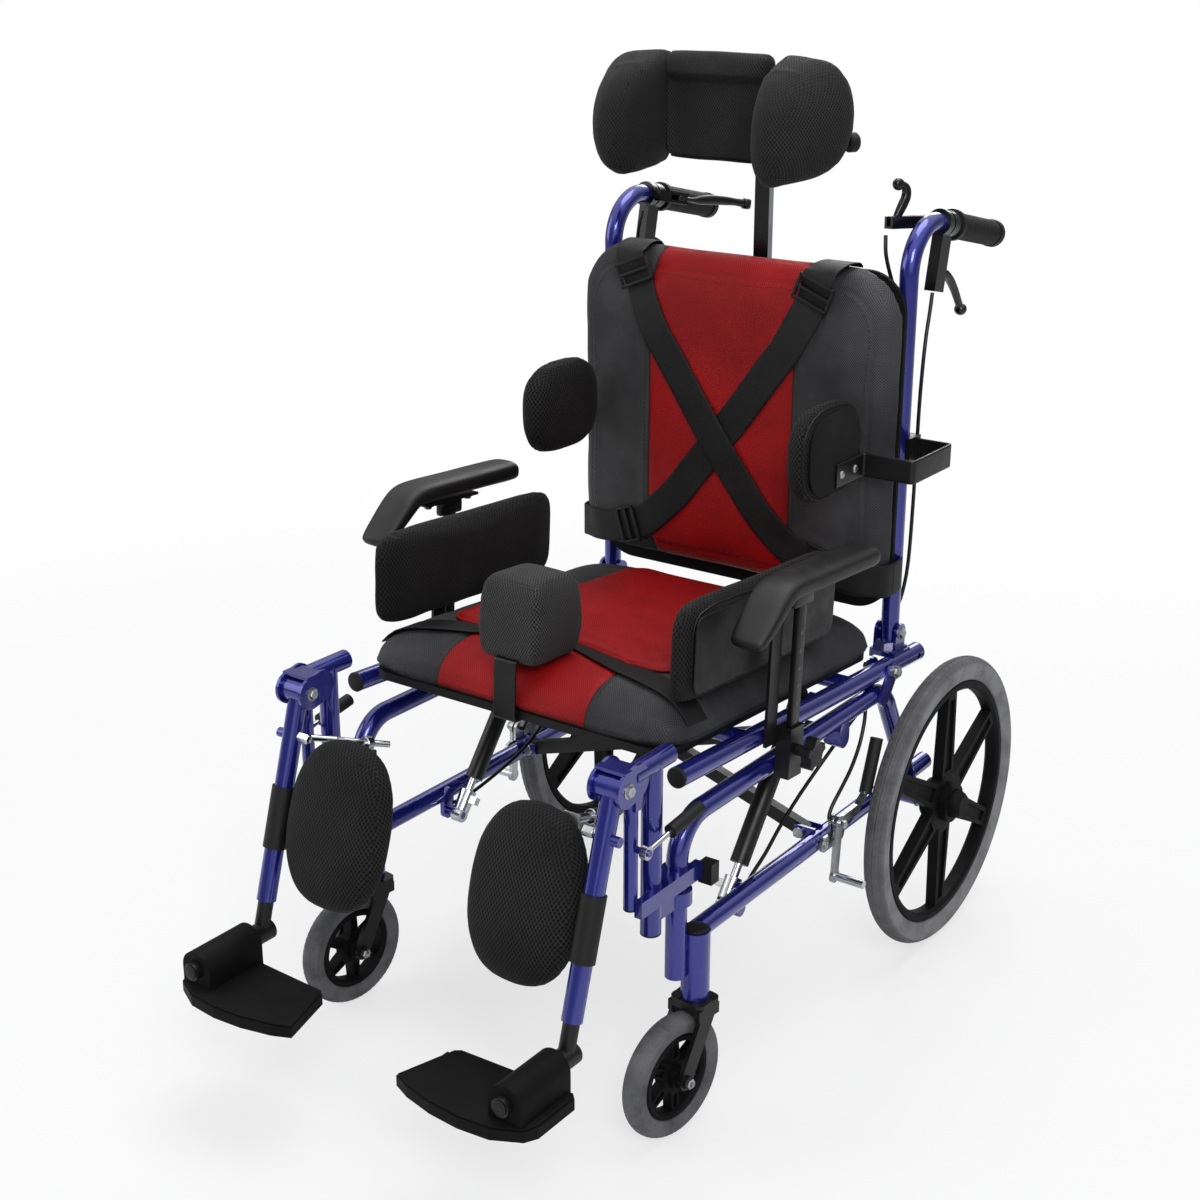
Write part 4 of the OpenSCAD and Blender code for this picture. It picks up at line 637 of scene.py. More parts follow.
def plain_black(shade, rough_low, rough_high, grain, grain_mm):
    """Moulded or coated black with a fine grain and faint lighter clouds."""
    def build(graph, place, normal):
        cloud = graph.step(graph.noise(place, 14, 4), 0.3, 0.75)
        color = graph.mix(cloud, grey(shade, 1), grey(shade + 7, 1))
        rough = graph.spread(graph.noise(place, 45, 5, 0.6), 0.3, 0.7, rough_low, rough_high)
        return color, rough, graph.bump(graph.noise(place, grain, 3, 0.6), grain_mm * 0.001, 0.6)
    return build


def bright_metal(graph, place, normal):
    """Nickel plating: faint drawing lines, fingerprints and small dull patches."""
    stretched = graph.vector("MULTIPLY", place, (60, 900, 60))
    lines = graph.noise(stretched, 1, 2)
    smear = graph.step(graph.noise(place, 24, 4), 0.42, 0.72)
    color = graph.mix(smear, srgb(196, 197, 200), srgb(164, 165, 168))
    rough = graph.math("ADD", graph.spread(lines, 0.3, 0.7, 0.10, 0.20), graph.math("MULTIPLY", smear, 0.12))
    return color, rough, graph.bump(lines, 0.00004, 0.3)


def zinc_metal(graph, place, normal):
    """Zinc-plated steel with duller crystals."""
    patch = graph.step(graph.noise(place, 35, 5, 0.65), 0.35, 0.7)
    color = graph.mix(patch, srgb(186, 188, 190), srgb(142, 144, 146))
    return color, graph.spread(patch, 0, 1, 0.24, 0.42), graph.bump(graph.noise(place, 300, 3), 0.0001, 0.4)


def cushion_cloth(half):
    """Fine grey and red mesh cloth; the red panel runs down the middle, with dark stitched seams."""
    def build(graph, place, normal):
        hole = open_mesh(graph, place, normal, 0.0030, 0.8)
        x = graph.math("ABSOLUTE", graph.split(place)[0])
        middle = graph.step(x, half * 0.001 + 0.0006, half * 0.001 - 0.0006)
        cloud = graph.step(graph.noise(place, 7, 4, 0.6), 0.32, 0.72)
        side = graph.mix(cloud, grey(52, 2), grey(80, 2))
        red = graph.mix(cloud, srgb(150, 15, 18), srgb(188, 22, 25))
        thread = graph.mix(middle, side, red)
        deep = graph.mix(middle, grey(14, 2), srgb(84, 5, 8))
        shade = graph.step(hole, 0.18, 0.62)
        color = graph.mix(graph.math("MULTIPLY", shade, 0.8), thread, deep)
        away = graph.math("ABSOLUTE", graph.math("SUBTRACT", x, half * 0.001))
        seam = graph.step(away, 0.0018, 0.0006)
        color = graph.mix(graph.math("MULTIPLY", seam, 0.8), color, srgb(30, 20, 22))
        rough = graph.spread(cloud, 0, 1, 0.62, 0.50)
        return color, rough, graph.bump(graph.math("MULTIPLY", hole, -1), 0.0006, 0.55)
    return build


def spacer_mesh(cell, light, dark, depth=0.0008):
    """Thick knitted mesh, with dark holes and fuzzy threads."""
    def build(graph, place, normal):
        hole = open_mesh(graph, place, normal, cell, 0.62)
        shade = graph.step(hole, 0.12, 0.55)
        cloud = graph.step(graph.noise(place, 11, 4), 0.3, 0.75)
        thread = graph.mix(cloud, grey(light, 1), grey(light + 14, 1))
        color = graph.mix(shade, thread, grey(dark))
        fuzz = graph.noise(place, 900, 2)
        height = graph.math("ADD", graph.math("MULTIPLY", hole, -1), graph.math("MULTIPLY", fuzz, 0.25))
        return color, graph.spread(fuzz, 0.3, 0.7, 0.68, 0.86), graph.bump(height, depth, 0.7)
    return build


def knit_black(graph, place, normal):
    """Fine black lining."""
    weave = open_mesh(graph, place, normal, 0.0011, 1.0)
    cloud = graph.step(graph.noise(place, 16, 4), 0.3, 0.75)
    color = graph.mix(cloud, grey(12, 1), grey(26, 1))
    return color, 0.82, graph.bump(weave, -0.0003, 0.5)


def webbing_black(graph, place, normal):
    """Woven strap: narrow ribs with a slight gloss along the worn edges."""
    ribs = open_mesh(graph, place, normal, 0.0019, 0.9)
    worn = graph.step(graph.noise(place, 30, 4), 0.45, 0.75)
    color = graph.mix(worn, grey(9, 1), grey(24, 2))
    return color, graph.spread(worn, 0, 1, 0.48, 0.66), graph.bump(ribs, 0.0005, 0.6)


def foam_black(graph, place, normal):
    """Moulded skin foam with a pebbled grain; random worn patches are greyed only on faces that look up,
    partly wear and partly painted light from above.
    """
    pebble = graph.cells(place, 700, "SMOOTH_F1")
    worn = graph.step(graph.noise(place, 13, 5, 0.6), 0.45, 0.75)
    # painted top light: the worn patches turn grey only where the faces look up, so the lighter top is partly
    # wear and partly painted light from above
    up = graph.step(graph.split(normal)[2], 0.3, 0.95)
    share = graph.math("MULTIPLY", worn, graph.math("MULTIPLY", up, 0.7))
    color = graph.mix(share, grey(17, 1), grey(50, 1))
    return color, graph.spread(worn, 0, 1, 0.46, 0.62), graph.bump(pebble, 0.00035, 0.5)


def rubber(light, dark, wheel=None):
    """Grey rubber with dust; a wheel's axle and tread radius, in millimetres, darken its tread."""
    def build(graph, place, normal):
        dust = graph.step(graph.noise(place, 26, 5, 0.65), 0.35, 0.72)
        speck = graph.step(graph.noise(place, 320, 3), 0.55, 0.75)
        color = graph.mix(dust, grey(light, 2), grey(dark, 2))
        color = graph.mix(graph.math("MULTIPLY", speck, 0.35), color, grey(dark - 24, 2))
        height = graph.noise(place, 500, 3)
        if wheel is not None:
            y, z, tread = wheel
            spot = graph.split(place)
            ahead = graph.math("SUBTRACT", spot[1], y * 0.001)
            above = graph.math("SUBTRACT", spot[2], z * 0.001)
            reach = graph.vector("LENGTH", graph.join(0, ahead, above))
            worn = graph.step(reach, (tread - 3.5) * 0.001, (tread + 2.5) * 0.001)
            color = graph.mix(graph.math("MULTIPLY", worn, 0.62), color, grey(dark - 48))
            rings = graph.math("SINE", graph.math("MULTIPLY", reach, 3600))
            height = graph.math("ADD", height, graph.math("MULTIPLY", rings, 0.5))
        return color, graph.spread(dust, 0, 1, 0.62, 0.82), graph.bump(height, 0.0002, 0.5)
    return build


BLUE = material("blue_paint", paint_blue, metallic=0.5, rough=0.28, coat=0.9, coat_rough=0.05)
SATIN = material("satin_black", plain_black(9, 0.30, 0.46, 380, 0.10), specular=0.35)
PLASTIC = material("moulded_black", plain_black(11, 0.42, 0.60, 640, 0.14), specular=0.3)
MATT = material("matt_black", plain_black(9, 0.55, 0.70, 640, 0.14), specular=0.1)
GLOSS = material(
    "gloss_black", plain_black(8, 0.20, 0.32, 200, 0.04), coat=0.15, coat_rough=0.08, specular=0.4)
RUBBER_GRIP = material("grip_rubber", plain_black(12, 0.5, 0.66, 820, 0.16), specular=0.35)
CHROME = material("nickel_plate", bright_metal, metallic=1.0, rough=0.16)
ZINC = material("zinc_steel", zinc_metal, metallic=1.0, rough=0.32)
CLOTH = material("two_tone_mesh", cushion_cloth(PANEL_HALF), rough=0.58, specular=0.2)
CLOTH_RED = material("red_mesh", cushion_cloth(400.0), rough=0.58, specular=0.2)
SPACER = material("spacer_mesh", spacer_mesh(0.0046, 30, 5), rough=0.75, specular=0.15, sheen=0.03)
SPACER_HEAD = material(
    "headrest_mesh", spacer_mesh(0.0036, 34, 8, 0.0006), rough=0.75, specular=0.2, sheen=0.04)
POMMEL_MESH = material(
    "pommel_mesh", spacer_mesh(0.0036, 58, 15, 0.0007), rough=0.72, specular=0.25, sheen=0.04)
BACK_CLOTH = material("backing_cloth", knit_black, rough=0.82, specular=0.2)
WEBBING = material("webbing", webbing_black, rough=0.55, specular=0.25)
FOAM = material("skin_foam", foam_black, rough=0.5, specular=0.35)
TYRE = material("grey_tyre", rubber(132, 104, (*AXLE, 196)), rough=0.7, specular=0.3)
CASTER_TYRE = material("caster_tyre_rubber", rubber(100, 72), rough=0.66, specular=0.3)
CABLE = material("cable_sheath", plain_black(9, 0.24, 0.36, 260, 0.05), specular=0.35)
THREAD = material("thread", plain_black(34, 0.6, 0.75, 900, 0.05), specular=0.2)
PIPING = material("piping", plain_black(9, 0.42, 0.55, 700, 0.08), specular=0.3)
WELT = material("welt", plain_black(26, 0.55, 0.7, 800, 0.2), specular=0.25)


# Cables first: each is one smooth curve along the route that the CAD source gives

CABLE_WIDTH = 0.005
LOCK_CABLE = [
    (241, 206, 380), (243, 200, 362), (246, 184, 338), (248, 160, 314), (248, 134, 294), (246, 116, 276),
    (247, 108, 264), (252.5, 107, 262),
]
GAS_CABLE = [
    (238, 196, 381), (228, 184, 360), (214, 150, 322), (206, 104, 288), (206, 56, 262), (212, 10, 244),
    (217, -32, 232), (222.5, -58, 224.5), (227.5, -72, 223),
]
RELEASE_CABLE = [
    (184, 306, 974), (188, 302, 950), (194, 308, 920), (200, 318, 890), (204, 322, 850), (206, 323, 790),
    (206, 323, 720), (206, 323, 650), (208, 320, 580), (212, 314, 520), (218, 305, 496),
]
BRAKE_CABLE = [
    (226, 361, 898), (228, 353, 876), (231, 340, 846), (234, 329, 806), (235, 324, 760), (235, 323, 690),
    (235, 322, 620), (235, 318, 550), (232, 313, 510), (229, 306, 490),
]


def cable_piece(name, route, side, body, node):
    """A sheathed cable along a route in millimetres, with both of its ends on the chair."""
    points = smooth_route([mm(side * x, y, z) for x, y, z in route], 3)
    data = bpy.data.curves.new(name, "CURVE")
    data.dimensions = "3D"
    data.bevel_depth = CABLE_WIDTH / 2
    data.bevel_resolution = 5
    data.use_fill_caps = True
    line = data.splines.new("POLY")
    line.points.add(len(points) - 1)
    for knot, p in zip(line.points, points):
        knot.co = (*p, 1)
    line.use_smooth = True
    made = add_object(name, data)
    data.materials.append(CABLE)
    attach(made, body)
    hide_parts(node)
    return made


for side_name, s in SIDES:
    for cable_name, cable_route, carrier in (
        ("lock_cable_", LOCK_CABLE, "base"), ("gas_cable_", GAS_CABLE, "base"),
        ("release_cable_", RELEASE_CABLE, "back"), ("brake_cable_", BRAKE_CABLE, "back"),
    ):
        cable_piece(cable_name + side_name, cable_route, s, carrier, carrier + "_cables")


# Soft pieces


def settle(piece, body, slot, *nodes, fill=None):
    """Attaches a finished piece to its body and hides the CAD nodes given; its finish, the slot, is not used.
    """
    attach(piece, body)
    if nodes:
        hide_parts(*nodes)
    return piece


def repaint(piece, paint):
    """Gives a piece one material."""
    piece.data.materials.clear()
    piece.data.materials.append(paint)
    return piece


def edge_ring(obj, height, out=0.0, count=180):
    """Points round a pad in its own frame, at a height above its base, in millimetres."""
    tree = surface(obj)
    points = []
    for k in range(count + 1):
        a = 2 * math.pi * k / count
        away = Vector((math.cos(a), math.sin(a), 0))
        hit = tree.ray_cast(away * 0.6 + Vector((0, 0, height * 0.001)), -away)[0]
        if hit is not None:
            points.append((hit + away * out * 0.001) * 1000)
    return points


def on_front(tree, x, y):
    """A list with the point on a pad's front at x and y, in millimetres, or an empty one beside the pad."""
    hit = tree.ray_cast(Vector((x, y, 0.2)), Vector((0, 0, -1)))[0]
    return [] if hit is None else [(hit + Vector((0, 0, 0.0001))) * 1000]


def panel_stitches(name, tree, start, span, count):
    """A row of stitches beside each seam of the middle panel."""
    rows = []
    for x in (-PANEL_HALF - 6.5, PANEL_HALF + 6.5):
        line = [p for k in range(count + 1) for p in on_front(tree, x * 0.001, start + span * k / count)]
        rows.append(stitch_line(name, line))
    return rows


def stitch_line(name, line, pitch=6.5, length=4.2, r=0.55):
    """A row of short thread dashes along points in millimetres."""
    bm = bmesh.new()
    travelled = [0.0]
    for a, b in zip(line, line[1:]):
        travelled.append(travelled[-1] + (Vector(b) - Vector(a)).length)

    def at(s):
        for i in range(len(line) - 1):
            if travelled[i + 1] >= s:
                span = travelled[i + 1] - travelled[i]
                t = 0 if span == 0 else (s - travelled[i]) / span
                return Vector(line[i]).lerp(Vector(line[i + 1]), t)
        return Vector(line[-1])

    total, place = travelled[-1], 0.0
    while place + length < total:
        a, b = at(place), at(place + length)
        d = b - a
        if d.length > 1e-6:
            turn = d.to_track_quat("Z", "Y").to_matrix().to_4x4()
            size = Matrix.Diagonal((r * 0.001, r * 0.001, d.length * 0.0005, 1))
            spot = Matrix.Translation((a + b) * 0.0005) @ turn @ size
            bmesh.ops.create_uvsphere(bm, u_segments=6, v_segments=4, radius=1, matrix=spot)
        place += pitch
    return repaint(from_bmesh(name, bm), THREAD)


def fold_noise(p, x=26, y=26, z=26, shift=0.0):
    """Slow unevenness of a cloth at a point in metres; x, y and z are its scales."""
    return noise.noise(Vector((p.x * x, p.y * y, p.z * z + shift)))


def keep_above(pad, low):
    """Keeps a pad's rear flat, at a height in metres."""
    for v in pad.data.vertices:
        v.co.z = max(v.co.z, low)


def seat_cushion():
    """The grey and red seat cushion, hollowed a little, with two welts and stitches round its foot."""
    middle = Matrix.Translation(mm(0, 9, SEAT_LOW - 10))
    pad = pad_mesh("seat_pad", (460, 492, 65), 9.5, crown=3.5, pull=0.008, lip=0.84, cells=30)
    inflate(pad, 0.0062, 0.006)
    fit_box(pad, (-231.5, -248.4, 0), (231.5, 248.4, 69.4))
    half_x, half_y = 0.2320, 0.2488

    def shape(p, n):
        step = Vector()
        if n.z > -0.2:
            x = abs(p.x)
            step -= n * 0.0026 * groove(x - PANEL_HALF * 0.001, 0.0034)
            dip = 0.0022 * math.exp(-((p.x / 0.13) ** 2 + ((p.y - 0.05) / 0.16) ** 2))
            step.z -= dip
        wave = fold_noise(p, 14, 14, 20)
        crease = noise.noise(Vector((p.x * 46, p.y * 18, 3.1))) * max(0.0, -n.y) ** 0.7
        step += n * (0.0009 * wave + 0.0007 * crease)
        side = max(abs(n.x), abs(n.y))
        if side > 0.6:
            step -= n * 0.0012 * groove(p.z - 0.0146, 0.0022)
        return step

    displace(pad, shape)
    keep_above(pad, -0.0001)
    for v in pad.data.vertices:
        v.co.x = max(-half_x, min(half_x, v.co.x))
        v.co.y = max(-half_y, min(half_y, v.co.y))
    repaint(pad, CLOTH)
    cords = []
    for z, r in ((3.4, 3.2), (10.6, 2.6)):
        cords.append(tube_part("cord", edge_ring(pad, z, -0.6), r, 10, paint=WELT, caps=False))
    piping = merge("seat_piping", cords)
    stitches = panel_stitches("seat_stitch", surface(pad), -0.232, 0.47, 90)
    stitches.append(stitch_line("seat_stitch_low", edge_ring(pad, 18.5, 0.1, 240), 7, 4.4, 0.5))
    return settle_cushion(pad, piping, merge("seat_stitching", stitches), SEAT_MATRIX @ middle, "seat", 0.8)


def settle_cushion(pad, piping, stitching, matrix, body, fill):
    """Places a cushion with its piping and stitches on its body."""
    for piece in (pad, piping, stitching):
        piece.data.transform(matrix)
    settle(pad, body, "grey_fabric", body + "_cushion", fill=fill)
    settle(piping, body, "black_fabric")
    settle(stitching, body, "grey_fabric")
    return pad


def back_cushion():
    """The grey and red back cushion: padded rim, flatter middle, two seams and stitches all round."""
    place = Matrix.Translation(mm(0, BACK_REAR, (BACK_LOW + BACK_TOP) / 2))
    place = place @ Matrix.Rotation(math.pi / 2, 4, "X")
    pad = pad_mesh("back_pad", (472, 423, 57), 7.5, crown=2.5, pull=0.012, lip=0.8, cells=30)
    for v in pad.data.vertices:
        corner = max(0.0, v.co.y / 0.2115 - 0.72) / 0.28 * max(0.0, abs(v.co.x) / 0.236 - 0.78) / 0.22
        v.co.y -= 0.012 * corner
        v.co.x -= math.copysign(0.011, v.co.x) * corner
    inflate(pad, 0.0062, 0.006)
    fit_box(pad, (-237.6, -213.2, 0), (237.6, 213.2, 63.4))
    ring = edge_ring(pad, 30, 0, 120)
    outline = [Vector((p.x, p.y)) * 0.001 for p in ring]

    def inset(p):
        return min((Vector((p.x, p.y)) - q).length for q in outline)

    def shape(p, n):
        step = Vector()
        if n.z > 0.3:
            x = abs(p.x)
            step -= n * 0.0030 * groove(x - PANEL_HALF * 0.001, 0.0036)
            if x > 0.18 or abs(p.y) > 0.16:
                step -= n * 0.0016 * groove(inset(p) - 0.021, 0.0028)
            near_rim = x > PANEL_HALF * 0.001 + 0.01 or p.y > 0.14
            bolster = 1 / (1 + math.exp((inset(p) - 0.030) / 0.006)) if near_rim else 0.0
            outer = min(1.0, max(0.0, (x - PANEL_HALF * 0.001 - 0.004) / 0.02))
            step.z -= 0.0055 * outer * (1 - bolster)
            step.z += 0.0018 * math.exp(-(((p.y + 0.11) / 0.07) ** 2)) * (1 - outer)
        wave = fold_noise(p, 11, 9, 20, 7)
        fold = noise.noise(Vector((p.x * 22 + p.y * 14, p.y * 30 - p.x * 12, 9.7)))
        outer = min(1.0, max(0.0, (abs(p.x) - 0.10) / 0.06))
        step += n * (0.0010 * wave + 0.0008 * fold * outer)
        return step

    displace(pad, shape)
    keep_above(pad, -0.0001)
    repaint(pad, CLOTH)
    piping = tube_part("back_piping", edge_ring(pad, 3.6, 0.8, 220), 3.4, 10, paint=PIPING, caps=False)
    tree = surface(pad)
    stitches = panel_stitches("back_stitch", tree, -0.198, 0.396, 85)
    rim = []
    for k in range(241):
        a = 2 * math.pi * k / 240
        away = Vector((math.cos(a), math.sin(a), 0))
        edge = tree.ray_cast(away * 0.6 + Vector((0, 0, 0.028)), -away)[0]
        if edge is not None:
            rim += on_front(tree, edge.x - away.x * 0.030, edge.y - away.y * 0.030)
    stitches.append(stitch_line("back_stitch_rim", rim, 7, 4.4, 0.5))
    return settle_cushion(pad, piping, merge("back_stitching", stitches), place, "back", 0.75)


def small_pad(name, size, full, exponent, crown, lip, voxel, cap, cells, matrix, welt, pull=0.0):
    """A pad of spacer mesh and its seam; full is its final size and welt the height of the seam."""
    pad = pad_mesh(name, size, exponent, crown, pull, lip, cells)
    inflate(pad, voxel, cap)
    fit_box(pad, (-full[0] / 2, -full[1] / 2, 0), (full[0] / 2, full[1] / 2, full[2]))

    def shape(p, n):
        step = n * 0.0006 * fold_noise(p, shift=size[0])
        if abs(n.z) < 0.8:
            step -= n * 0.0013 * groove(p.z - welt * 0.001, 0.0018)
        return step

    displace(pad, shape)
    keep_above(pad, -0.0002)
    repaint(pad, SPACER)
    seam = tube_part(name + "_seam", edge_ring(pad, welt, 0.1, 150), 1.3, 8, paint=PIPING, caps=False)
    for piece in (pad, seam):
        piece.data.transform(matrix)
    return pad, seam


def mirror_piece(piece, name):
    """A copy of a finished piece on the other side."""
    mesh = piece.data.copy()
    mesh.transform(Matrix.Diagonal((-1, 1, 1, 1)))
    mesh.flip_normals()
    return add_object(name, mesh)


def settle_pair(pad, seam, pad_name, seam_name, body, node, fill):
    """Settles a left pad with its seam, and a copy of both on the right; {} in a name stands for the side."""
    right = mirror_piece(pad, pad_name.format("right")), mirror_piece(seam, seam_name.format("right"))
    seam.name = seam_name.format("left")
    for side_name, (cushion, line) in zip(("left", "right"), ((pad, seam), right)):
        settle(cushion, body.format(side_name), "black_fabric", node.format(side_name), fill=fill)
        settle(line, body.format(side_name), "black_fabric")


FACE_INWARD = Matrix.Rotation(-math.pi / 2, 4, "Y")


def hip_pads():
    """Long side pads of the seat, one above the cushion's edge on each side."""
    outer, low_z, top_z = 235, CUSHION_TOP - 12, CUSHION_TOP + 107
    place = SEAT_MATRIX @ Matrix.Translation(mm(outer, -50, (low_z + top_z) / 2)) @ FACE_INWARD
    pad, seam = small_pad(
        "hip_pad_left", (116, 347, 33), (118.6, 350, 37.6), exponent=5.0, crown=2.0, lip=0.62,
        voxel=0.005, cap=0.005, cells=18, matrix=place, welt=5.0, pull=0.015,
    )
    settle_pair(pad, seam, "hip_pad_{}", "hip_pad_{}_seam", "seat", "hip_pads", 0.75)
    front, rear, margin = -207, 108, 14
    low, high = low_z + margin, top_z - margin
    for side_name, s in SIDES:
        outline = rounded_outline([(front, low), (rear, low), (rear, high), (front, high)], 16)
        name = "hip_plate_" + side_name
        plate = plate_part(name, outline, s * outer, s * 236.6, "X", 0.4, SEAT_MATRIX, PLASTIC)
        settle(plate, "seat", "black_plastic")


def quarter(y, z, r, turn):
    """Points of a bend in the pommel's bar; turn gives each point's offsets from the sine and cosine."""
    angles = [math.radians(a) for a in (20, 45, 70, 90)]
    return [(0, y + dy, z + dz) for dy, dz in (turn(r * math.sin(a), r * math.cos(a)) for a in angles)]


def pommel_pad():
    """The block between the thighs, and the flat bar that holds it and goes down in front of the cushion."""
    rear, front = -150.0, -243.0
    plate_z = CUSHION_TOP + 0.3
    place = SEAT_MATRIX @ Matrix.Translation(mm(0, rear - 48.5, 499.5))
    pad = pad_mesh("pommel_pad", (90, 92, 98), 9.0, 2.0, 0.004, 0.60, 20, edge_power=2.0, edge_turn=9)
    inflate(pad, 0.0042, 0.0026)
    fit_box(pad, (-46.5, -48.0, 0), (46.5, 48.0, 105.5))

    def shape(p, n):
        step = n * 0.0007 * fold_noise(p, shift=5)
        ridge = groove(abs(p.x) - 0.036, 0.004) * max(0.0, -n.y) * 0.0008
        return step + n * ridge

    displace(pad, shape)
    keep_above(pad, 0.0)
    repaint(pad, POMMEL_MESH)
    pad.data.transform(place)
    settle(pad, "pommel", "grey_fabric", "pommel", fill=0.85)
    bar_y = front - 1.5
    route = [(0, rear - 12, plate_z + 1.35), (0, front + 2.5, plate_z + 1.35)]
    route += quarter(front + 1, plate_z - 1.15, 2.5, lambda side, up: (-side, up))
    route += [(0, bar_y, z) for z in (plate_z - 8, 460, 438)]
    route += quarter(bar_y + 4.0, 436.5, 4.0, lambda side, up: (-up, -side))
    route += [(0, front + ahead, 432.5) for ahead in (12, 60, 110)]
    bar = strap_part("pommel_bar", route, (1, 0, 0), 32, 2.7, SEAT_MATRIX, SATIN)
    settle(bar, "pommel", "black_metal")


def pan_head(r, shoulder, top, crown=1.6):
    """The profile of a screw's rounded head."""
    return [(0, r), (shoulder, r - 0.2), (top, r - crown), (top + 0.2, 0.1)]


def screw(place, direction, profile, sides=16, matrix=None):
    """A screw's head in zinc-plated steel, which stands at a place and points along a direction."""
    return turned("screw", place, direction, profile, sides, matrix, ZINC)


def headrest_wings():
    """The two ear-shaped side pads, and the hinge leaves that hold them."""
    outline = [
        (74.6, 1), (74.6, -18), (75, -40), (77.5, -62), (82, -82), (89, -98), (98, -110), (107, -116),
        (118, -117), (129, -110), (146, -90), (158, -70), (169, -48), (177, -32), (180, -16), (176, -3),
        (163, 4), (148, 6), (128, 7), (108, 5), (90, 2),
    ]
    heights = [-70, -68, -62, -52, -38, -20, 0, 18, 34, 47, 57, 63, 66]
    scales = [0.22, 0.42, 0.62, 0.80, 0.92, 0.99, 1.0, 0.97, 0.90, 0.79, 0.64, 0.46, 0.22]
    slope = 0.22
    rings = []
    for h, k in zip(heights, scales):
        low = min(h, 0) / 70
        middle = (116 + 2 * low**2, -44 + 4 * low**2 + 16 * (max(h, 0) / 66) ** 2)
        ring = []
        for x, y in outline:
            inner = max(0.0, 1 - (x - 74.5) / 60)
            share = k + (1 - k) * inner * 0.6
            at = (middle[0] + (x - middle[0]) * share, middle[1] + (y - middle[1]) * share)
            front = min(1.0, max(0.0, -at[1] / 117))
            taper = 1 - (0.30 if h > 0 else 0.12) * front**2
            ring.append((at[0], HEAD_REAR + 2 + at[1], HEAD_Z + h * taper + slope * at[1]))
        rings.append(ring)
    pad = loft_rings("headrest_wing_left_pad", rings)
    box = [[f(v.co[k] for v in pad.data.vertices) * 1000 for k in range(3)] for f in (min, max)]
    inflate(pad, 0.0045, 0.004)
    fit_box(pad, *box)

    def shape(p, n):
        step = n * 0.0008 * fold_noise(p, 24, 24, 24)
        rear = p.y - mm(0, HEAD_REAR - 8, 0).y
        step -= n * 0.0014 * groove(rear, 0.0022)
        front = mm(0, HEAD_REAR - 66, 0).y + 0.16 * (p.z - HEAD_Z * 0.001)
        if n.x < 0.3:
            step += n * 0.0011 * groove(p.y - front, 0.0045)
        return step

    displace(pad, shape)
    repaint(pad, SPACER_HEAD)
    for piece in (pad, mirror_piece(pad, "headrest_wing_right_pad")):
        wing = piece.name.removesuffix("_pad")
        settle(piece, wing, "black_fabric", wing, fill=0.8)
    barrel_profile = [(0, 5.6), (0.8, 6.4), (39.2, 6.4), (40, 5.6)]
    knob_profile = [(-4, 4), (6, 4), (6.1, 10.5), (8, 12), (17, 12), (19.5, 10), (20.3, 5), (20.4, 0.1)]
    for side_name, s in SIDES:
        x, y, z = HEAD_HINGE_X, HEAD_HINGE_Y, 1096
        leaf = side_box("wing_leaf", s, (x, 148), (y - 1, y + 2.4), (z, z + 40), paint=SATIN)
        barrel = turned("wing_barrel", (s * x, y, z), (0, 0, 1), barrel_profile, 24, paint=SATIN)
        place = (s * 158, HEAD_REAR + 6, 1092)
        knob = turned("wing_knob", place, (0.6 * s, 1, 0), knob_profile, 28, paint=PLASTIC)
        places = [(s * across, y + 2.0, z + up) for across in (84, 128) for up in (10, 30)]
        heads = [screw(place, (0, 1, 0), pan_head(4.6, 1.4, 2.2, 1.2)) for place in places]
        hinge = merge("wing_hinge_" + side_name, [leaf, barrel, knob] + heads)
        settle(hinge, "headrest_wing_" + side_name, "black_metal")


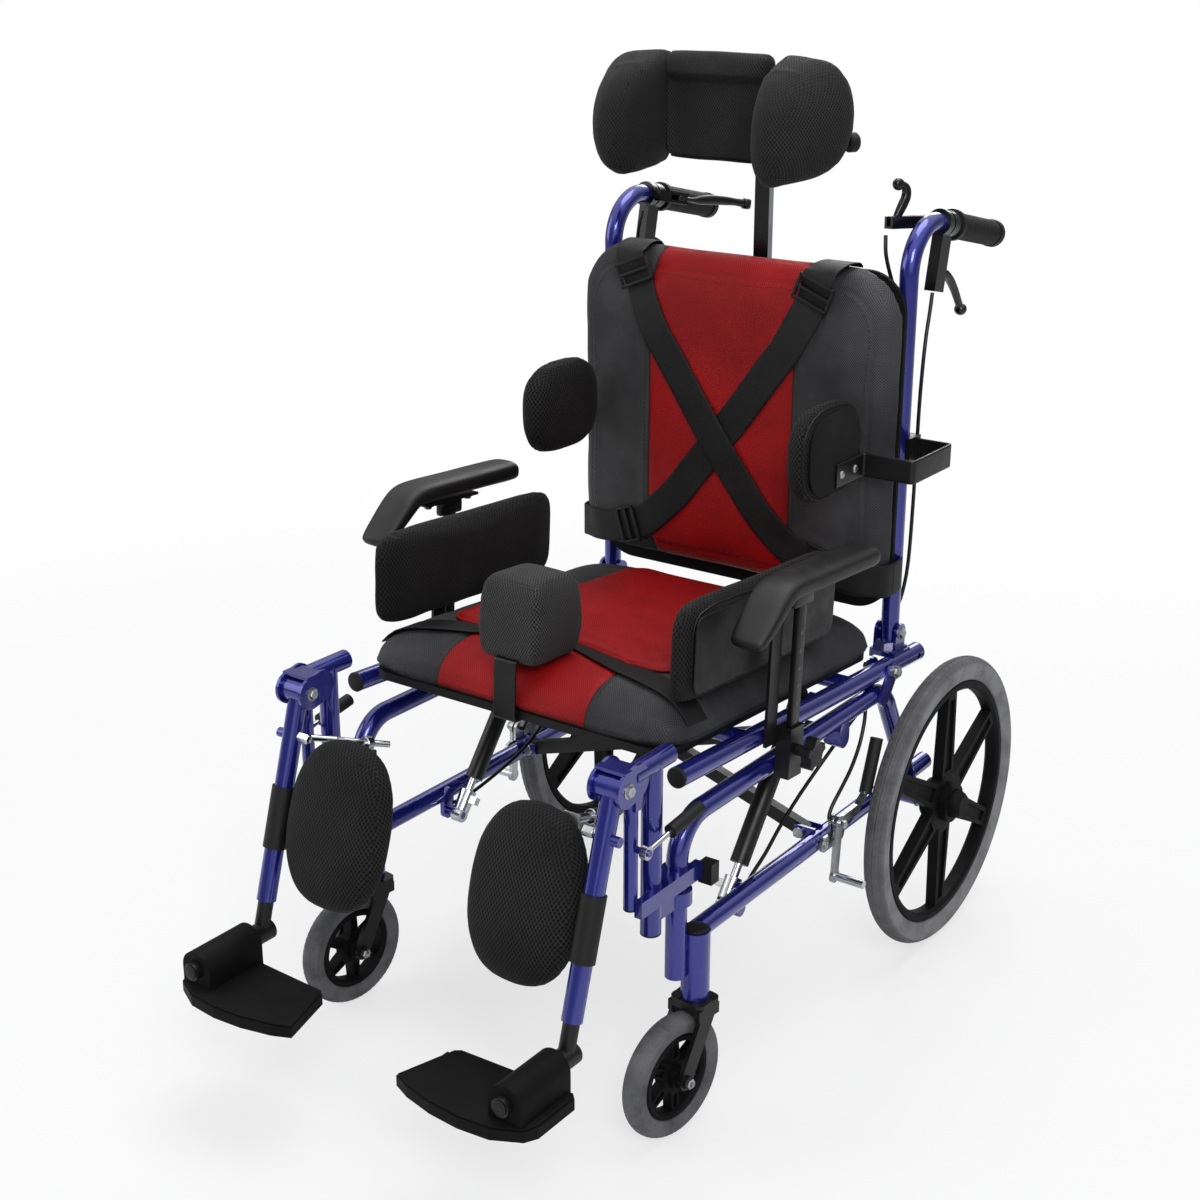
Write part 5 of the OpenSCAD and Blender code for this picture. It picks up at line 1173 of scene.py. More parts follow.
def headrest_middle():
    """The scooped middle pad, and the plate, cheeks, pin and wing rods behind it."""
    place = Matrix.Translation(mm(0, HEAD_REAR, HEAD_Z)) @ Matrix.Rotation(math.pi / 2, 4, "X")
    pad = pad_mesh("headrest_middle_pad", (146, 129, 40), 18.0, 2.0, 0.0, 0.45, 20)
    inflate(pad, 0.0045, 0.004)
    fit_box(pad, (-76.0, -65.8, 0), (76.0, 65.8, 45.8))

    def shape(p, n):
        step = n * 0.0007 * fold_noise(p)
        t = p.y / 0.0658
        fall = min(1.0, max(0.0, (0.62 - t) / 0.20))
        scoop = fall * fall * (3 - 2 * fall) * (1 - (p.x / 0.0745) ** 10)
        if n.z > 0:
            step.z -= 0.020 * scoop * max(0.0, p.z / 0.046)
        return step

    displace(pad, shape)
    keep_above(pad, -0.0001)
    repaint(pad, SPACER_HEAD)
    pad.data.transform(place)
    settle(pad, "head_pad", "black_fabric", "headrest_pad", fill=0.75)

    plate_y = HEAD_REAR + 0.3
    outline = rounded_outline([(-50, 1070), (50, 1070), (50, 1174), (-50, 1174)], 10)
    parts = [plate_part("plate", outline, plate_y, plate_y + 5, "Y", 1.0, None, SATIN)]
    for x in (-10.5, 6.5):
        link = [(plate_y + 2, HEAD_HINGE_Z - 11), (HEAD_POST_Y, HEAD_HINGE_Z - 11)]
        for k in range(9):
            a = math.radians(-90 + 180 * k / 8)
            link.append((HEAD_POST_Y + 11 * math.cos(a), HEAD_HINGE_Z + 11 * math.sin(a)))
        link += [(HEAD_POST_Y, HEAD_HINGE_Z + 11), (plate_y + 2, HEAD_HINGE_Z + 11)]
        unique = [p for i, p in enumerate(link) if (Vector(p) - Vector(link[i - 1])).length > 0.5]
        parts.append(plate_part("cheek", unique, x, x + 4, "X", 0.5, None, SATIN))
    pin = [(0, 7), (0.6, 8), (2.6, 8), (2.6, 5), (23.4, 5), (23.4, 8), (25.4, 8), (26, 7)]
    parts.append(turned("pin", (-13, HEAD_POST_Y, HEAD_HINGE_Z), (1, 0, 0), pin, 24, paint=CHROME))
    arm = [(40, plate_y + 1), (44, plate_y - 1), (64, HEAD_HINGE_Y - 4.5), (67.5, HEAD_HINGE_Y)]
    arm += [(64, HEAD_HINGE_Y + 4.5), (42, plate_y + 8), (38, plate_y + 5)]
    rod = [(0, 2.4), (0.6, 3), (65.4, 3), (66, 2.4)]
    for _, s in SIDES:
        outline = [(s * x, y) for x, y in arm]
        for z in (HEAD_Z - 44, HEAD_Z + 10):
            parts.append(plate_part("knuckle", outline, z, z + 8, "Z", 0.6, None, SATIN))
        foot = (s * HEAD_HINGE_X, HEAD_HINGE_Y, HEAD_Z - 46)
        parts.append(turned("rod", foot, (0, 0, 1), rod, 16, paint=ZINC))
    for x in (-36, 36):
        for z in (1086, 1158):
            parts.append(screw((x, plate_y + 5, z), (0, 1, 0), pan_head(5.2, 1.2, 2.4)))
    settle(merge("headrest_bracket", parts), "head_pad", "black_metal")


def bar_corner(x, y, start):
    """A quarter turn of 5 mm radius in a bar's plan: clockwise from 180 degrees, else anticlockwise."""
    end = start - 90 if start == 180 else start + 90
    angles = [math.radians(start + (end - start) * k / 5) for k in range(6)]
    return [(x + 5 * math.cos(a), y + 5 * math.sin(a)) for a in angles]


def lateral_pieces():
    """Rounded pads beside the chest, each on a flat bar that goes round the edge of the back."""
    pad_y, pad_z = BACK_FRONT - 0.3 - 73, 735
    x_out = 177 + 39
    place = Matrix.Translation(mm(x_out, pad_y, pad_z)) @ FACE_INWARD
    pad, seam = small_pad(
        "lateral_pad_left", (119, 143, 33), (121.4, 145.4, 38.4), exponent=3.0, crown=4.0, lip=0.78,
        voxel=0.0042, cap=0.004, cells=20, matrix=place, welt=6.0,
    )
    support = "lateral_support_{}"
    settle_pair(pad, seam, "lateral_pad_{}", "lateral_seam_{}", support, support, 0.8)
    bar_y, bar_z = BACK_FRONT - 6, 705
    inner, out, rear = x_out + 2.4, 290, 315.24
    plan = [(inner, pad_y), (inner, bar_y - 3)]
    plan += bar_corner(inner + 5, bar_y - 3, 180)
    plan += bar_corner(out - 7, bar_y + 7, -90)
    plan += bar_corner(out - 7, rear - 7, 0)
    plan.append((165, rear - 2))
    outline = [(pad_y + 62 * u, pad_z + 51 * v) for u, v in circle(40, 3)]
    for side_name, s in SIDES:
        cover = plate_part("lateral_cover", outline, s * 215.6, s * 217.6, "X", 0.8, None, BACK_CLOTH)
        route = [(s * x, y, bar_z) for x, y in plan]
        bar = strap_part("lateral_bar", route, (0, 0, 1), 30, 3.6, None, SATIN, 0.8)
        head = pan_head(5.4, 1.2, 2.6)
        screws = [screw((s * (x_out + 3.8), pad_y + dy, bar_z), (s, 0, 0), head) for dy in (12, 46)]
        bracket = merge("lateral_bracket_" + side_name, [cover, bar] + screws)
        settle(bracket, support.format(side_name), "black_metal")


def calf_pieces():
    """Oval calf pads and their brackets, in the frame of the leg tube, whose origin is the knee."""
    pad_x, pad_z, rod_z = 140, -144, -54
    rod_x, stub_x = 217.7, 169
    place = KNEE_MATRIX @ Matrix.Translation(mm(pad_x, 23, pad_z)) @ Matrix.Rotation(math.pi / 2, 4, "X")
    pad, seam = small_pad(
        "calf_pad_left_cushion", (147, 202, 38), (149.4, 204.4, 45.4), exponent=2.5, crown=6.5, lip=0.8,
        voxel=0.005, cap=0.004, cells=20, matrix=place, welt=6.0,
    )
    settle_pair(pad, seam, "calf_pad_{}_cushion", "calf_seam_{}", "leg_{}", "calf_pad_{}", 0.8)
    nut = [(0, 6.2), (0.8, 7), (13.5, 7), (15.5, 5.2), (16, 0.1)]
    clamp = [(0, 8), (1, 9), (11, 9), (12, 8)]
    for side_name, s in SIDES:
        oval = [(s * pad_x + 62 * u, pad_z + 90 * v) for u, v in circle(40, 2.6)]
        rod_end, stub = (s * rod_x, 0, rod_z), s * stub_x
        parts = [
            plate_part("cover", oval, 22.6, 24.6, "Y", 0.8, KNEE_MATRIX, BACK_CLOTH),
            rod_part("rod", rod_end, (s * 158, 96, rod_z), 4, 0.8, 20, KNEE_MATRIX, CHROME),
            side_box("bracket", s, (158, 180), (22.5, 26), (-104, -46), 0.8, 2, KNEE_MATRIX, ZINC),
            rod_part("stub", (stub, 24, rod_z), (stub, 66, rod_z), 5, 0.8, 20, KNEE_MATRIX, CHROME),
            turned("knob", rod_end, (-s, 0, 0), nut, 6, KNEE_MATRIX, CHROME),
            turned("clamp", (stub, 60, rod_z), (0, 1, 0), clamp, 24, KNEE_MATRIX, CHROME),
        ]
        settle(merge("calf_bracket_" + side_name, parts), "leg_" + side_name, "chrome")


def armrest_pieces():
    """Moulded foam pads that bend down at the front, on a flat post with a bracket."""
    # the place along the pad, the drop and the share of the full thickness of each cross-section
    stations = [
        (102, 0, 0.80), (99, 0, 0.93), (92, 0, 1.0), (70, 0, 1.0), (30, 0, 1.0), (-10, 0, 1.0), (-50, 0, 1.0),
        (-84, 0, 1.0), (-98, -1.0, 1.0), (-108, -4.5, 1.0), (-118, -11.5, 0.99), (-130, -22, 0.97),
        (-144, -34, 0.93), (-156, -44, 0.87), (-164, -50, 0.76), (-168.5, -53.5, 0.60),
    ]
    thickness, half_width, post_x = 26.0, 25.2, 262.0
    for side_name, s in SIDES:
        lift = 0 if s > 0 else 15
        top = 630.0 + lift
        low = top - 27
        rings = []
        for i, (y, drop, share) in enumerate(stations):
            a, b = stations[max(i - 1, 0)], stations[min(i + 1, len(stations) - 1)]
            d = Vector((0, b[0] - a[0], b[1] - a[1])).normalized()
            up = Vector((0, d.z, -d.y))
            if up.z < 0:
                up = -up
            thick = thickness * share * (1 - 0.22 * max(0.0, -120 - y) / 48)
            middle = Vector((s * 275.5, y, top + drop - thickness / 2))
            ring = []
            for u, v in circle(36, 3.4):
                rise = thick / 2 * v - (0.9 * u**2 if v > 0 else 0)
                ring.append(middle + Vector((half_width * share**0.6 * u, 0, 0)) + up * rise)
            rings.append(ring)
        pad = loft_rings("arm_pad_" + side_name, rings)
        subdivide(pad, 1)
        displace(pad, lambda p, n: n * 0.0005 * fold_noise(p, 30, 14, 30))
        repaint(pad, FOAM)
        pad.data.transform(SEAT_MATRIX)
        armrest = "armrest_" + side_name
        settle(pad, armrest, "arm_foam", armrest, fill=0.95)
        parts = []
        for name, x, y, z, edge, rows in (
            ("bracket", (-3, 16), (-82, 22), (low - 6, low - 2), 1.0, 2),
            ("post", (0, 8), (-39, -21), (363 + lift, low - 5), 1.2, 2),
            ("gusset", (-1, 10), (-52, -8), (low - 24, low - 5), 4.0, 3),
        ):
            x = [post_x + value for value in x]
            parts.append(side_box(name, s, x, y, z, edge, rows, SEAT_MATRIX, SATIN))
        down, screw_x = (0, 0, -1), s * (post_x + 7)
        for y in (-70, 10):
            head = [(0, 5.2), (3.6, 5.2), (4.6, 4.4), (4.8, 0.1)]
            parts.append(screw((screw_x, y, low - 6), down, head, 6, SEAT_MATRIX))
            washer = [(0, 7.6), (1.0, 7.6)]
            parts.append(turned("washer", (screw_x, y, low - 5.8), down, washer, 20, SEAT_MATRIX, ZINC))
        disc = [(0, 3.1), (0.15, 3.1)]
        for k in range(6):
            hole = (s * (post_x + 8.0), -30, 436 + lift + k * 22)
            parts.append(turned("stop_hole", hole, (s, 0, 0), disc, 16, SEAT_MATRIX, GLOSS))
        settle(merge("armrest_post_" + side_name, parts), armrest, "black_metal")


def webbing_over(tree, plan, width, lift):
    """Lays a strap's middle line on the back's front; plan has points in millimetres and the way across."""
    laid = []
    for p, across in plan:
        reach = []
        for share in (-0.45, -0.22, 0, 0.22, 0.45):
            start = (Vector(p) + Vector(across) * width * share) * 0.001 - Vector((0, 0.2, 0))
            hit = tree.ray_cast(start, Vector((0, 1, 0)))[0]
            if hit is not None:
                reach.append(hit.y * 1000)
        laid.append(Vector((p[0], min(reach) - lift if reach else p[1], p[2])))
    return laid


def relax(points, rounds=2):
    """Evens out a line of points, whose ends stay."""
    points = [Vector(p) for p in points]
    for _ in range(rounds):
        inner = [a * 0.25 + b * 0.5 + c * 0.25 for a, b, c in zip(points, points[1:], points[2:])]
        points = points[:1] + inner + points[-1:]
    return points


def buckle(name, centre, along, out, width, length, thick):
    """A flat frame buckle: two windows for the strap and a bar between them."""
    along, out = Vector(along).normalized(), Vector(out).normalized()
    across = along.cross(out).normalized()
    turn = Matrix((across, along, out)).transposed().to_4x4()
    place = Matrix.Translation(mm(*centre)) @ turn
    w, h = width / 2, length / 2
    bars = [(-w, w, y0, y1) for y0, y1 in ((-h, -h + 4.5), (-2.4, 2.4), (h - 4.5, h))]
    bars += [(x0, x1, -h, h) for x0, x1 in ((-w, -w + 4.5), (w - 4.5, w))]
    parts = [box_part("bar", (x0, y0, 0), (x1, y1, thick), 1.4, 3, place, PLASTIC) for x0, x1, y0, y1 in bars]
    return merge(name, parts)


def harness_straps(cushion):
    """Two shoulder straps that cross on the back cushion and go round its edges to the back tubes."""
    tree = surface(cushion)
    width, cross_z = 44.0, 699
    lean = math.atan2(80, 108)
    # x, z and the angle of the strap at each point on the front
    plan = [(132, 900, lean * 0.9)]
    plan += [(x, z, lean) for x, z in (
        (117, 868), (100, 835), (80, 808), (60, 780), (40, 752), (20, 725), (0, cross_z), (-20, 672),
        (-40, 646))]
    plan += [(x, z, math.radians(a)) for x, z, a in (
        (-60, 620, 48), (-80, 600, 55), (-100, 582, 62), (-118, 568, 70),
        (-146, 557, 76), (-176, 548, 82), (-205, 545, 88), (-226, 544, 90))]
    over_top = [
        (150, 273, 938), (150, 268, 942.5), (149, 255, 944.5), (147, 238, 943.5), (144, 222, 938),
        (141, 212.5, 927),
    ]
    for side_name, s in SIDES:
        layer = 0.0 if s > 0 else 3.0
        walk = [((s * x, 0, z), (s * math.cos(a), 0, -math.sin(a))) for x, z, a in plan]
        front = webbing_over(tree, walk, width, 1.7)
        for p in front:
            p.y -= layer * max(0.0, 1 - abs(p.z - cross_z) / 60)
        top = [Vector((s * x, y, z)) for x, y, z in over_top]
        top[-1].y = min(top[-1].y, front[0].y + 3)
        edge_y = front[-1].y
        round_edge = [(236.5, edge_y + 4.5), (240.6, edge_y + 14), (241.5, edge_y + 30)]
        round_edge += [(241.5, 262), (241, 282), (238.3, 292)]
        tail = [Vector((-s * x, y, 543)) for x, y in round_edge]
        half_lean = (s * math.cos(lean * 0.5), 0, -math.sin(lean * 0.5))
        sides = [(s, 0, 0)] * 5 + [half_lean] + [w[1] for w in walk] + [(0, 0, -1)] * 6
        route = relax(smooth_route(top + front + tail, 4), 2)
        across = [Vector(a).lerp(Vector(b), k / 4) for a, b in zip(sides, sides[1:]) for k in range(4)]
        across.append(Vector(sides[-1]))
        strap = strap_part("shoulder_strap_" + side_name, route, across, width, 2.2, None, WEBBING, 0.6)
        settle(strap, "back", "webbing", "harness")
        mid = front[0].lerp(top[-1], 0.35)
        down = (front[1] - top[-1]).normalized()
        out = Vector(walk[0][1]).cross(down)
        if out.y > 0:
            out = -out
        clip = buckle("shoulder_adjuster_" + side_name, mid + out * 1.6, down, out, 54, 34, 4.2)
        settle(clip, "back", "black_plastic")
        low = front[-4]
        down = (front[-3] - front[-5]).normalized()
        out = Vector((0, -1, 0))
        out = (out - down * out.dot(down)).normalized()
        clip = buckle("hip_adjuster_" + side_name, low + out * 1.0, down, out, 52, 34, 3.8)
        settle(clip, "back", "black_plastic")


def seat_flap(cushion):
    """A red flap lies on the rear of the seat, from the back cushion's foot to the lap belt."""
    tree = surface(cushion)
    level = SEAT_MATRIX.inverted()
    aim = (SEAT_MATRIX.to_3x3() @ Vector((0, 0, -1))).normalized()
    half = [
        (0, 196), (60, 196), (113, 194), (117, 130), (120, 60), (134, 4), (154, -56), (165, -104),
        (163, -132), (148, -147), (118, -150), (80, -143), (40, -134), (0, -131),
    ]
    loop = half + [(-x, y) for x, y in half[-2:0:-1]]
    outline = smooth_route([Vector((x, y, 0)) for x, y in loop + loop[:1]], 4)[:-1]
    shares = [1.0, 0.995, 0.98, 0.955, 0.90, 0.78, 0.62, 0.44, 0.26, 0.10]
    tops, lows = [], []
    for k in shares:
        for p in outline:
            x, y = p.x * k, 20 + (p.y - 20) * k
            hit = tree.ray_cast(SEAT_MATRIX @ mm(x, y, 700), aim)[0]
            z = (level @ hit).z * 1000 if hit is not None else CUSHION_TOP
            puff = 8.0 * math.sqrt(max(0.0, 1 - k**40)) + 0.6 * noise.noise(Vector((x / 42, y / 30, 5.0)))
            tops.append(Vector((x, y, z + puff)))
            lows.append(Vector((x, y, z - 1.5)))
    n, m = len(outline), len(tops)
    faces = []
    for j in range(len(shares) - 1):
        for i in range(n):
            a, b = j * n + i, j * n + (i + 1) % n
            faces += [(a, b, b + n, a + n), (m + a, m + a + n, m + b + n, m + b)]
    for i in range(n):
        b = (i + 1) % n
        faces.append((i, m + i, m + b, b))
    faces += [tuple(range(m - n, m)), tuple(reversed(range(2 * m - n, 2 * m)))]
    flap = from_lists("seat_flap", tops + lows, faces)
    repaint(flap, CLOTH_RED)
    subdivide(flap, 1)
    cord_line = [Vector((p.x * 1.002, p.y * 1.002, tops[i].z + 2.6)) for i, p in enumerate(outline)]
    cord = tube_part("seat_flap_cord", cord_line + cord_line[:1], 1.9, 8, paint=CLOTH_RED, caps=False)
    for piece in (flap, cord):
        piece.data.transform(SEAT_MATRIX)
    settle(flap, "seat", "grey_fabric", fill=0.6)
    settle(cord, "seat", "grey_fabric")


def lap_belt(cushion):
    """The belt lies across the seat between the hip pads, with a closed buckle behind the pommel."""
    tree = surface(cushion)
    level = SEAT_MATRIX.inverted()
    aim = (SEAT_MATRIX.to_3x3() @ Vector((0, 0, -1))).normalized()
    route = []
    for k in range(47):
        x = -228 + 456 * k / 46
        y = -127 - 58 * (1 - math.exp(-((x / 120) ** 2))) - 3 * math.sin(x / 40)
        hits = [tree.ray_cast(SEAT_MATRIX @ mm(x, y + dy, 700), aim)[0] for dy in (-17, -8, 0, 8, 17)]
        heights = [(level @ hit).z * 1000 for hit in hits if hit is not None]
        route.append(Vector((x, y, max(heights, default=CUSHION_TOP) + 1.3)))
    route = relax(route, 2)
    belt = strap_part("lap_belt_webbing", route, (0, 1, 0), 38, 2.2, SEAT_MATRIX, WEBBING, 0.6)
    settle(belt, "seat", "webbing", "lap_belt")
    centre = route[20] + Vector((0, 0, 1.2))
    parts = []
    for name, low, high, edge, rows, paint in (
        ("shell", (-27, -22, -0.4), (25, 22, 8.6), 3.6, 4, PLASTIC),
        ("button", (-8, -9, 7.6), (8, 9, 9.6), 1.0, 3, GLOSS),
        ("tongue", (24, -17, 2.2), (34, 17, 5.6), 1.2, 3, PLASTIC),
    ):
        low, high = centre + Vector(low), centre + Vector(high)
        parts.append(box_part(name, low, high, edge, rows, SEAT_MATRIX, paint))
    settle(merge("lap_buckle", parts), "seat", "black_plastic")


seat_pad = seat_cushion()
seat_flap(seat_pad)
back_pad = back_cushion()
hip_pads()
pommel_pad()
headrest_wings()
headrest_middle()
lateral_pieces()
calf_pieces()
armrest_pieces()
harness_straps(back_pad)
lap_belt(seat_pad)


# Finishes of the CAD nodes


def islands(mesh):
    """The separate solids of a mesh: for each, its lowest and highest corner in millimetres and its faces."""
    parent = list(range(len(mesh.vertices)))
    places = {}

    def root(i):
        while parent[i] != i:
            parent[i] = parent[parent[i]]
            i = parent[i]
        return i

    for v in mesh.vertices:
        key = tuple(round(c * 50000) for c in v.co)
        if key in places:
            parent[root(v.index)] = root(places[key])
        places[key] = v.index
    for f in mesh.polygons:
        first = root(f.vertices[0])
        for i in f.vertices[1:]:
            parent[root(i)] = first
    found = {}
    for f in mesh.polygons:
        found.setdefault(root(f.vertices[0]), []).append(f.index)
    made = []
    for faces in found.values():
        spots = [mesh.vertices[i].co * 1000 for f in faces for i in mesh.polygons[f].vertices]
        low = Vector(min(p[k] for p in spots) for k in range(3))
        high = Vector(max(p[k] for p in spots) for k in range(3))
        made.append((low, high, faces))
    return made


def dress(node, base, *rules):
    """Gives a CAD node its base material, and others to the faces that a rule picks by place and normal."""
    mesh = NODES[node].data
    mesh.materials.clear()
    mesh.materials.append(base)
    for paint, _ in rules:
        if paint.name not in [m.name for m in mesh.materials]:
            mesh.materials.append(paint)
    names = [m.name for m in mesh.materials]
    solid_of = {}
    for low, high, faces in islands(mesh):
        for f in faces:
            solid_of[f] = (low, high)
    for f in mesh.polygons:
        f.material_index = 0
        spot = f.center * 1000
        spot.x = abs(spot.x)
        for paint, rule in rules:
            if rule(spot, f.normal, *solid_of[f.index]):
                f.material_index = names.index(paint.name)
    mesh.update()


def grip_of_lock(p, *_):
    """The rubber cap at the top of a wheel lock's lever."""
    return p.z > 277 and p.y > 174 and (abs(p.x - 262) > 2.6 or p.z > 292)


def shoe_of_lock(p, *_):
    """The bright shoe of a wheel lock, which presses on the tyre."""
    return p.x > 265 and p.z < 200


def sleeve_of_leg(p, *_):
    """The plastic sleeve round a leg tube, where the foot tube goes in."""
    place = KNEE_MATRIX.inverted() @ mm(p) * 1000
    return 116 < -place.z < 196 and abs(math.hypot(place.x - 230, place.y) - 14.5) < 2.6


def dress_nodes():
    """Every CAD node that stays in the picture gets its finish."""
    for side_name, _ in SIDES:
        for node, base, *rules in (
            ("side_frame_", BLUE),
            ("rear_rim_", MATT),
            ("caster_rim_", MATT),
            ("caster_fork_", SATIN),
            ("lock_lever_", ZINC, (RUBBER_GRIP, grip_of_lock), (CHROME, shoe_of_lock)),
            ("leg_lever_", CHROME, (RUBBER_GRIP, lambda p, *_: p.y > -284.5)),
            ("hanger_", BLUE, (PLASTIC, lambda p, *_: p.x > 251.5 and p.y > -209.5 and 311 < p.z < 339)),
            ("leg_tube_", BLUE, (PLASTIC, sleeve_of_leg)),
            ("foot_tube_", SATIN),
            ("footplate_", MATT),
            ("brake_lever_", GLOSS),
            ("release_lever_", GLOSS),
        ):
            dress(node + side_name, base, *rules)
    for node, base, *rules in (
        ("cross_brace", SATIN, (ZINC, lambda p, n, low, high: high.x - low.x < 60)),
        ("tilt_bolts", ZINC),
        ("lock_plates", ZINC),
        ("rear_axles", ZINC),
        ("seat_rails", BLUE),
        ("seat_board", PLASTIC),
        ("arm_sockets", SATIN, (PLASTIC, lambda p, *_: p.x > 277 and p.z < 425)),
        ("back_tubes", BLUE),
        ("back_board", BACK_CLOTH),
        ("back_crossbars", SATIN),
        ("handle_fittings", GLOSS, (RUBBER_GRIP, lambda p, n, low, high: low.y > 395)),
        ("headrest_post", CHROME, (GLOSS, lambda p, n, *_: n.y < -0.5)),
        ("gas_cylinders", SATIN),
        ("gas_rods", CHROME),
    ):
        dress(node, base, *rules)


def footplate_mats():
    """A thin mat on each footplate."""
    tread = [
        (80, -538), (102, -547), (142, -556), (182, -559), (222, -555), (254, -539), (261, -524), (261, -463),
        (254, -456), (108, -462), (101, -467),
    ]
    for side_name, s in SIDES:
        outline = [(s * x, y) for x, y in tread]
        mat = plate_part("footplate_mat_" + side_name, outline, 165.6, 168.3, "Z", 1.0, None, MATT)
        settle(mat, "footplate_" + side_name, "black_plastic")


dress_nodes()
footplate_mats()


# Wheels


def tyre_piece(kind, side_name, centre, axis, outer, seat, width, blocks, depth, paint):
    """A tyre with a tread of slanted grooves and a ribbed shoulder; kind is rear or caster."""
    axis = Vector(axis).normalized()
    u, v = basis(axis)
    shoulder = width * 0.2
    profile = [(seat, -width / 2 + shoulder), (seat + 1.5, -width / 2 + shoulder - 2.0)]
    for k in range(25):
        a = math.radians(-63 + 126 * k / 24)
        side = width / 2 * math.sin(a) / math.sin(math.radians(63))
        profile.append((outer - width * 0.5 + width * 0.5 * math.cos(a), side))
    profile += [(seat + 1.5, width / 2 - shoulder + 2.0), (seat, width / 2 - shoulder)]
    count = blocks * 4
    points, faces = [], []
    for k in range(count):
        turn = 2 * math.pi * k / count
        for i, (r, x) in enumerate(profile):
            share = abs(x) / (width / 2)
            cut = 0.0
            if 2 <= i <= 26:
                phase = (k + share * 2.2) / 4 % 1
                if 0.12 < share < 0.97:
                    cut = depth * max(0.0, 1 - abs(phase - 0.5) / 0.26)
                if share < 0.07 or 0.50 < share < 0.60:
                    cut = max(cut, 0.8 * depth)
            away = u * math.cos(turn) + v * math.sin(turn)
            points.append(Vector(centre) + away * (r - cut) + axis * x)
    n = len(profile)
    for k in range(count):
        for i in range(n):
            a, b = k * n + i, k * n + (i + 1) % n
            c, d = ((k + 1) % count) * n + (i + 1) % n, ((k + 1) % count) * n + i
            faces.append((a, b, c, d))
    made = finish_part(from_lists(kind + "_tyre_tread_" + side_name, points, faces), None, paint, 30)
    settle(made, kind + "_wheel_" + side_name, kind + "_tyre", kind + "_tyre_" + side_name)


CASTER_YAW = math.radians(-7)
CASTER_NUT = [(0, 6.6), (3.2, 6.6), (4.2, 5.6), (4.3, 3.2), (6.0, 3.0), (6.6, 2.0)]
CASTER_CAP = [(0, 14.0), (0.8, 14.6), (2.4, 14.2), (3.4, 11.5), (3.9, 7), (4.0, 0.1)]
for side_name, s in SIDES:
    tyre_piece("rear", side_name, (s * 286, *AXLE), (1, 0, 0), 203, 171.5, 30, 104, 1.7, TYRE)
    yaw = Matrix.Rotation(-CASTER_YAW, 3, "Z")
    stem_x, stem_y = s * CASTER_STEM[0], CASTER_STEM[1]
    centre = Vector((stem_x, stem_y, 77)) + Vector((0, -41, 0)) @ yaw
    axis = Vector((1, 0, 0)) @ yaw
    tyre_piece("caster", side_name, centre, axis, 77, 53.5, 28, 60, 0.7, CASTER_TYRE)
    for face, end in ((-1, "_in"), (1, "_out")):
        name = "caster_nut_" + side_name + end
        nut = turned(name, centre + axis * face * 28, axis * face, CASTER_NUT, 6, None, ZINC)
        settle(nut, "caster_fork_" + side_name, "chrome")
    place = (stem_x, stem_y, 252)
    cap = turned("caster_cap_" + side_name, place, (0, 0, 1), CASTER_CAP, 32, None, PLASTIC)
    settle(cap, "base", "black_plastic", "caster_caps")


# Grips, plugs, bolts and beads

HANDLE_BEND = math.radians(102)
HANDLE_START = Vector((225, RECLINE[0] + 60 * (1 - math.cos(HANDLE_BEND)), 928 + 60 * math.sin(HANDLE_BEND)))


def handle_point(s, x, z):
    """A point beside a push handle, x from its middle and z along it, in millimetres."""
    p = Matrix.Rotation(-HANDLE_BEND, 3, "X") @ Vector((x, 0, z)) + HANDLE_START
    return Vector((s * p.x, p.y, p.z))


def grips():
    """A ribbed grip on each push handle, and the screw of its clamp."""
    profile = [(0, 15.4)]
    for k in range(24):
        z = 2.0 + k * 4.6
        profile += [(z, 16.1), (z + 0.8, 17.0), (z + 2.6, 17.0), (z + 3.4, 16.1)]
    profile = [(along, r) for along, r in profile if along <= 113]
    socket = [(0, 4), (2.4, 4), (3.0, 3.2), (3.0, 1.8), (1.2, 1.6)]
    for side_name, s in SIDES:
        start, end = handle_point(s, 0, 48), handle_point(s, 0, 160)
        ribs = turned("grip_ribs_" + side_name, start, end - start, profile, 40, None, RUBBER_GRIP, 60)
        settle(ribs, "back", "grip_rubber")
        low, high = handle_point(s, -20, 13.5), handle_point(s, -20, 20)
        head = turned("clamp_screw_" + side_name, low, high - low, socket, 16, None, ZINC)
        settle(head, "back", "chrome")


def plug(name, body, place, direction, r, length=3.0):
    """A pushed-in end cap with a rounded rim."""
    profile = [(-4, r * 0.8), (0, r * 0.8), (0.01, r - 0.5), (0.6, r + 0.1), (length - 1.2, r + 0.1)]
    profile += [(length - 0.4, r - 0.6), (length, r - 2.2), (length + 0.15, 0.1)]
    settle(turned(name, place, direction, profile, 32, None, PLASTIC), body, "black_plastic")


def plugs():
    """Caps in the open ends of the rails, hangers, ratchets and footplate spindles."""
    ahead = raked_point(0, -300, TILT_Z) - raked_point(0, -238, TILT_Z)
    up, down = (0, 0, 1), (0, 0, -1)
    for side_name, s in SIDES:
        plug("rail_plug_front_" + side_name, "seat", raked_point(s * FRAME_X, -238, TILT_Z), ahead, 12.5)
        plug("rail_plug_rear_" + side_name, "seat", raked_point(s * FRAME_X, 346, TILT_Z), -ahead, 12.5)
        hanger, x = "hanger_" + side_name, s * FRAME_X
        plug("hanger_plug_" + side_name, hanger, (x, -287, 487), up, 12.0)
        plug("hanger_plug_low_" + side_name, hanger, (x, -287, 280), down, 12.0)
        plug("ratchet_plug_" + side_name, hanger, (x, -327, 328), down, 8.0)
        foot = "foot_tube_" + side_name
        plug("spindle_plug_" + side_name, foot, (s * 230, -548, 190), (0, -1, 0), 9.0, 2.4)


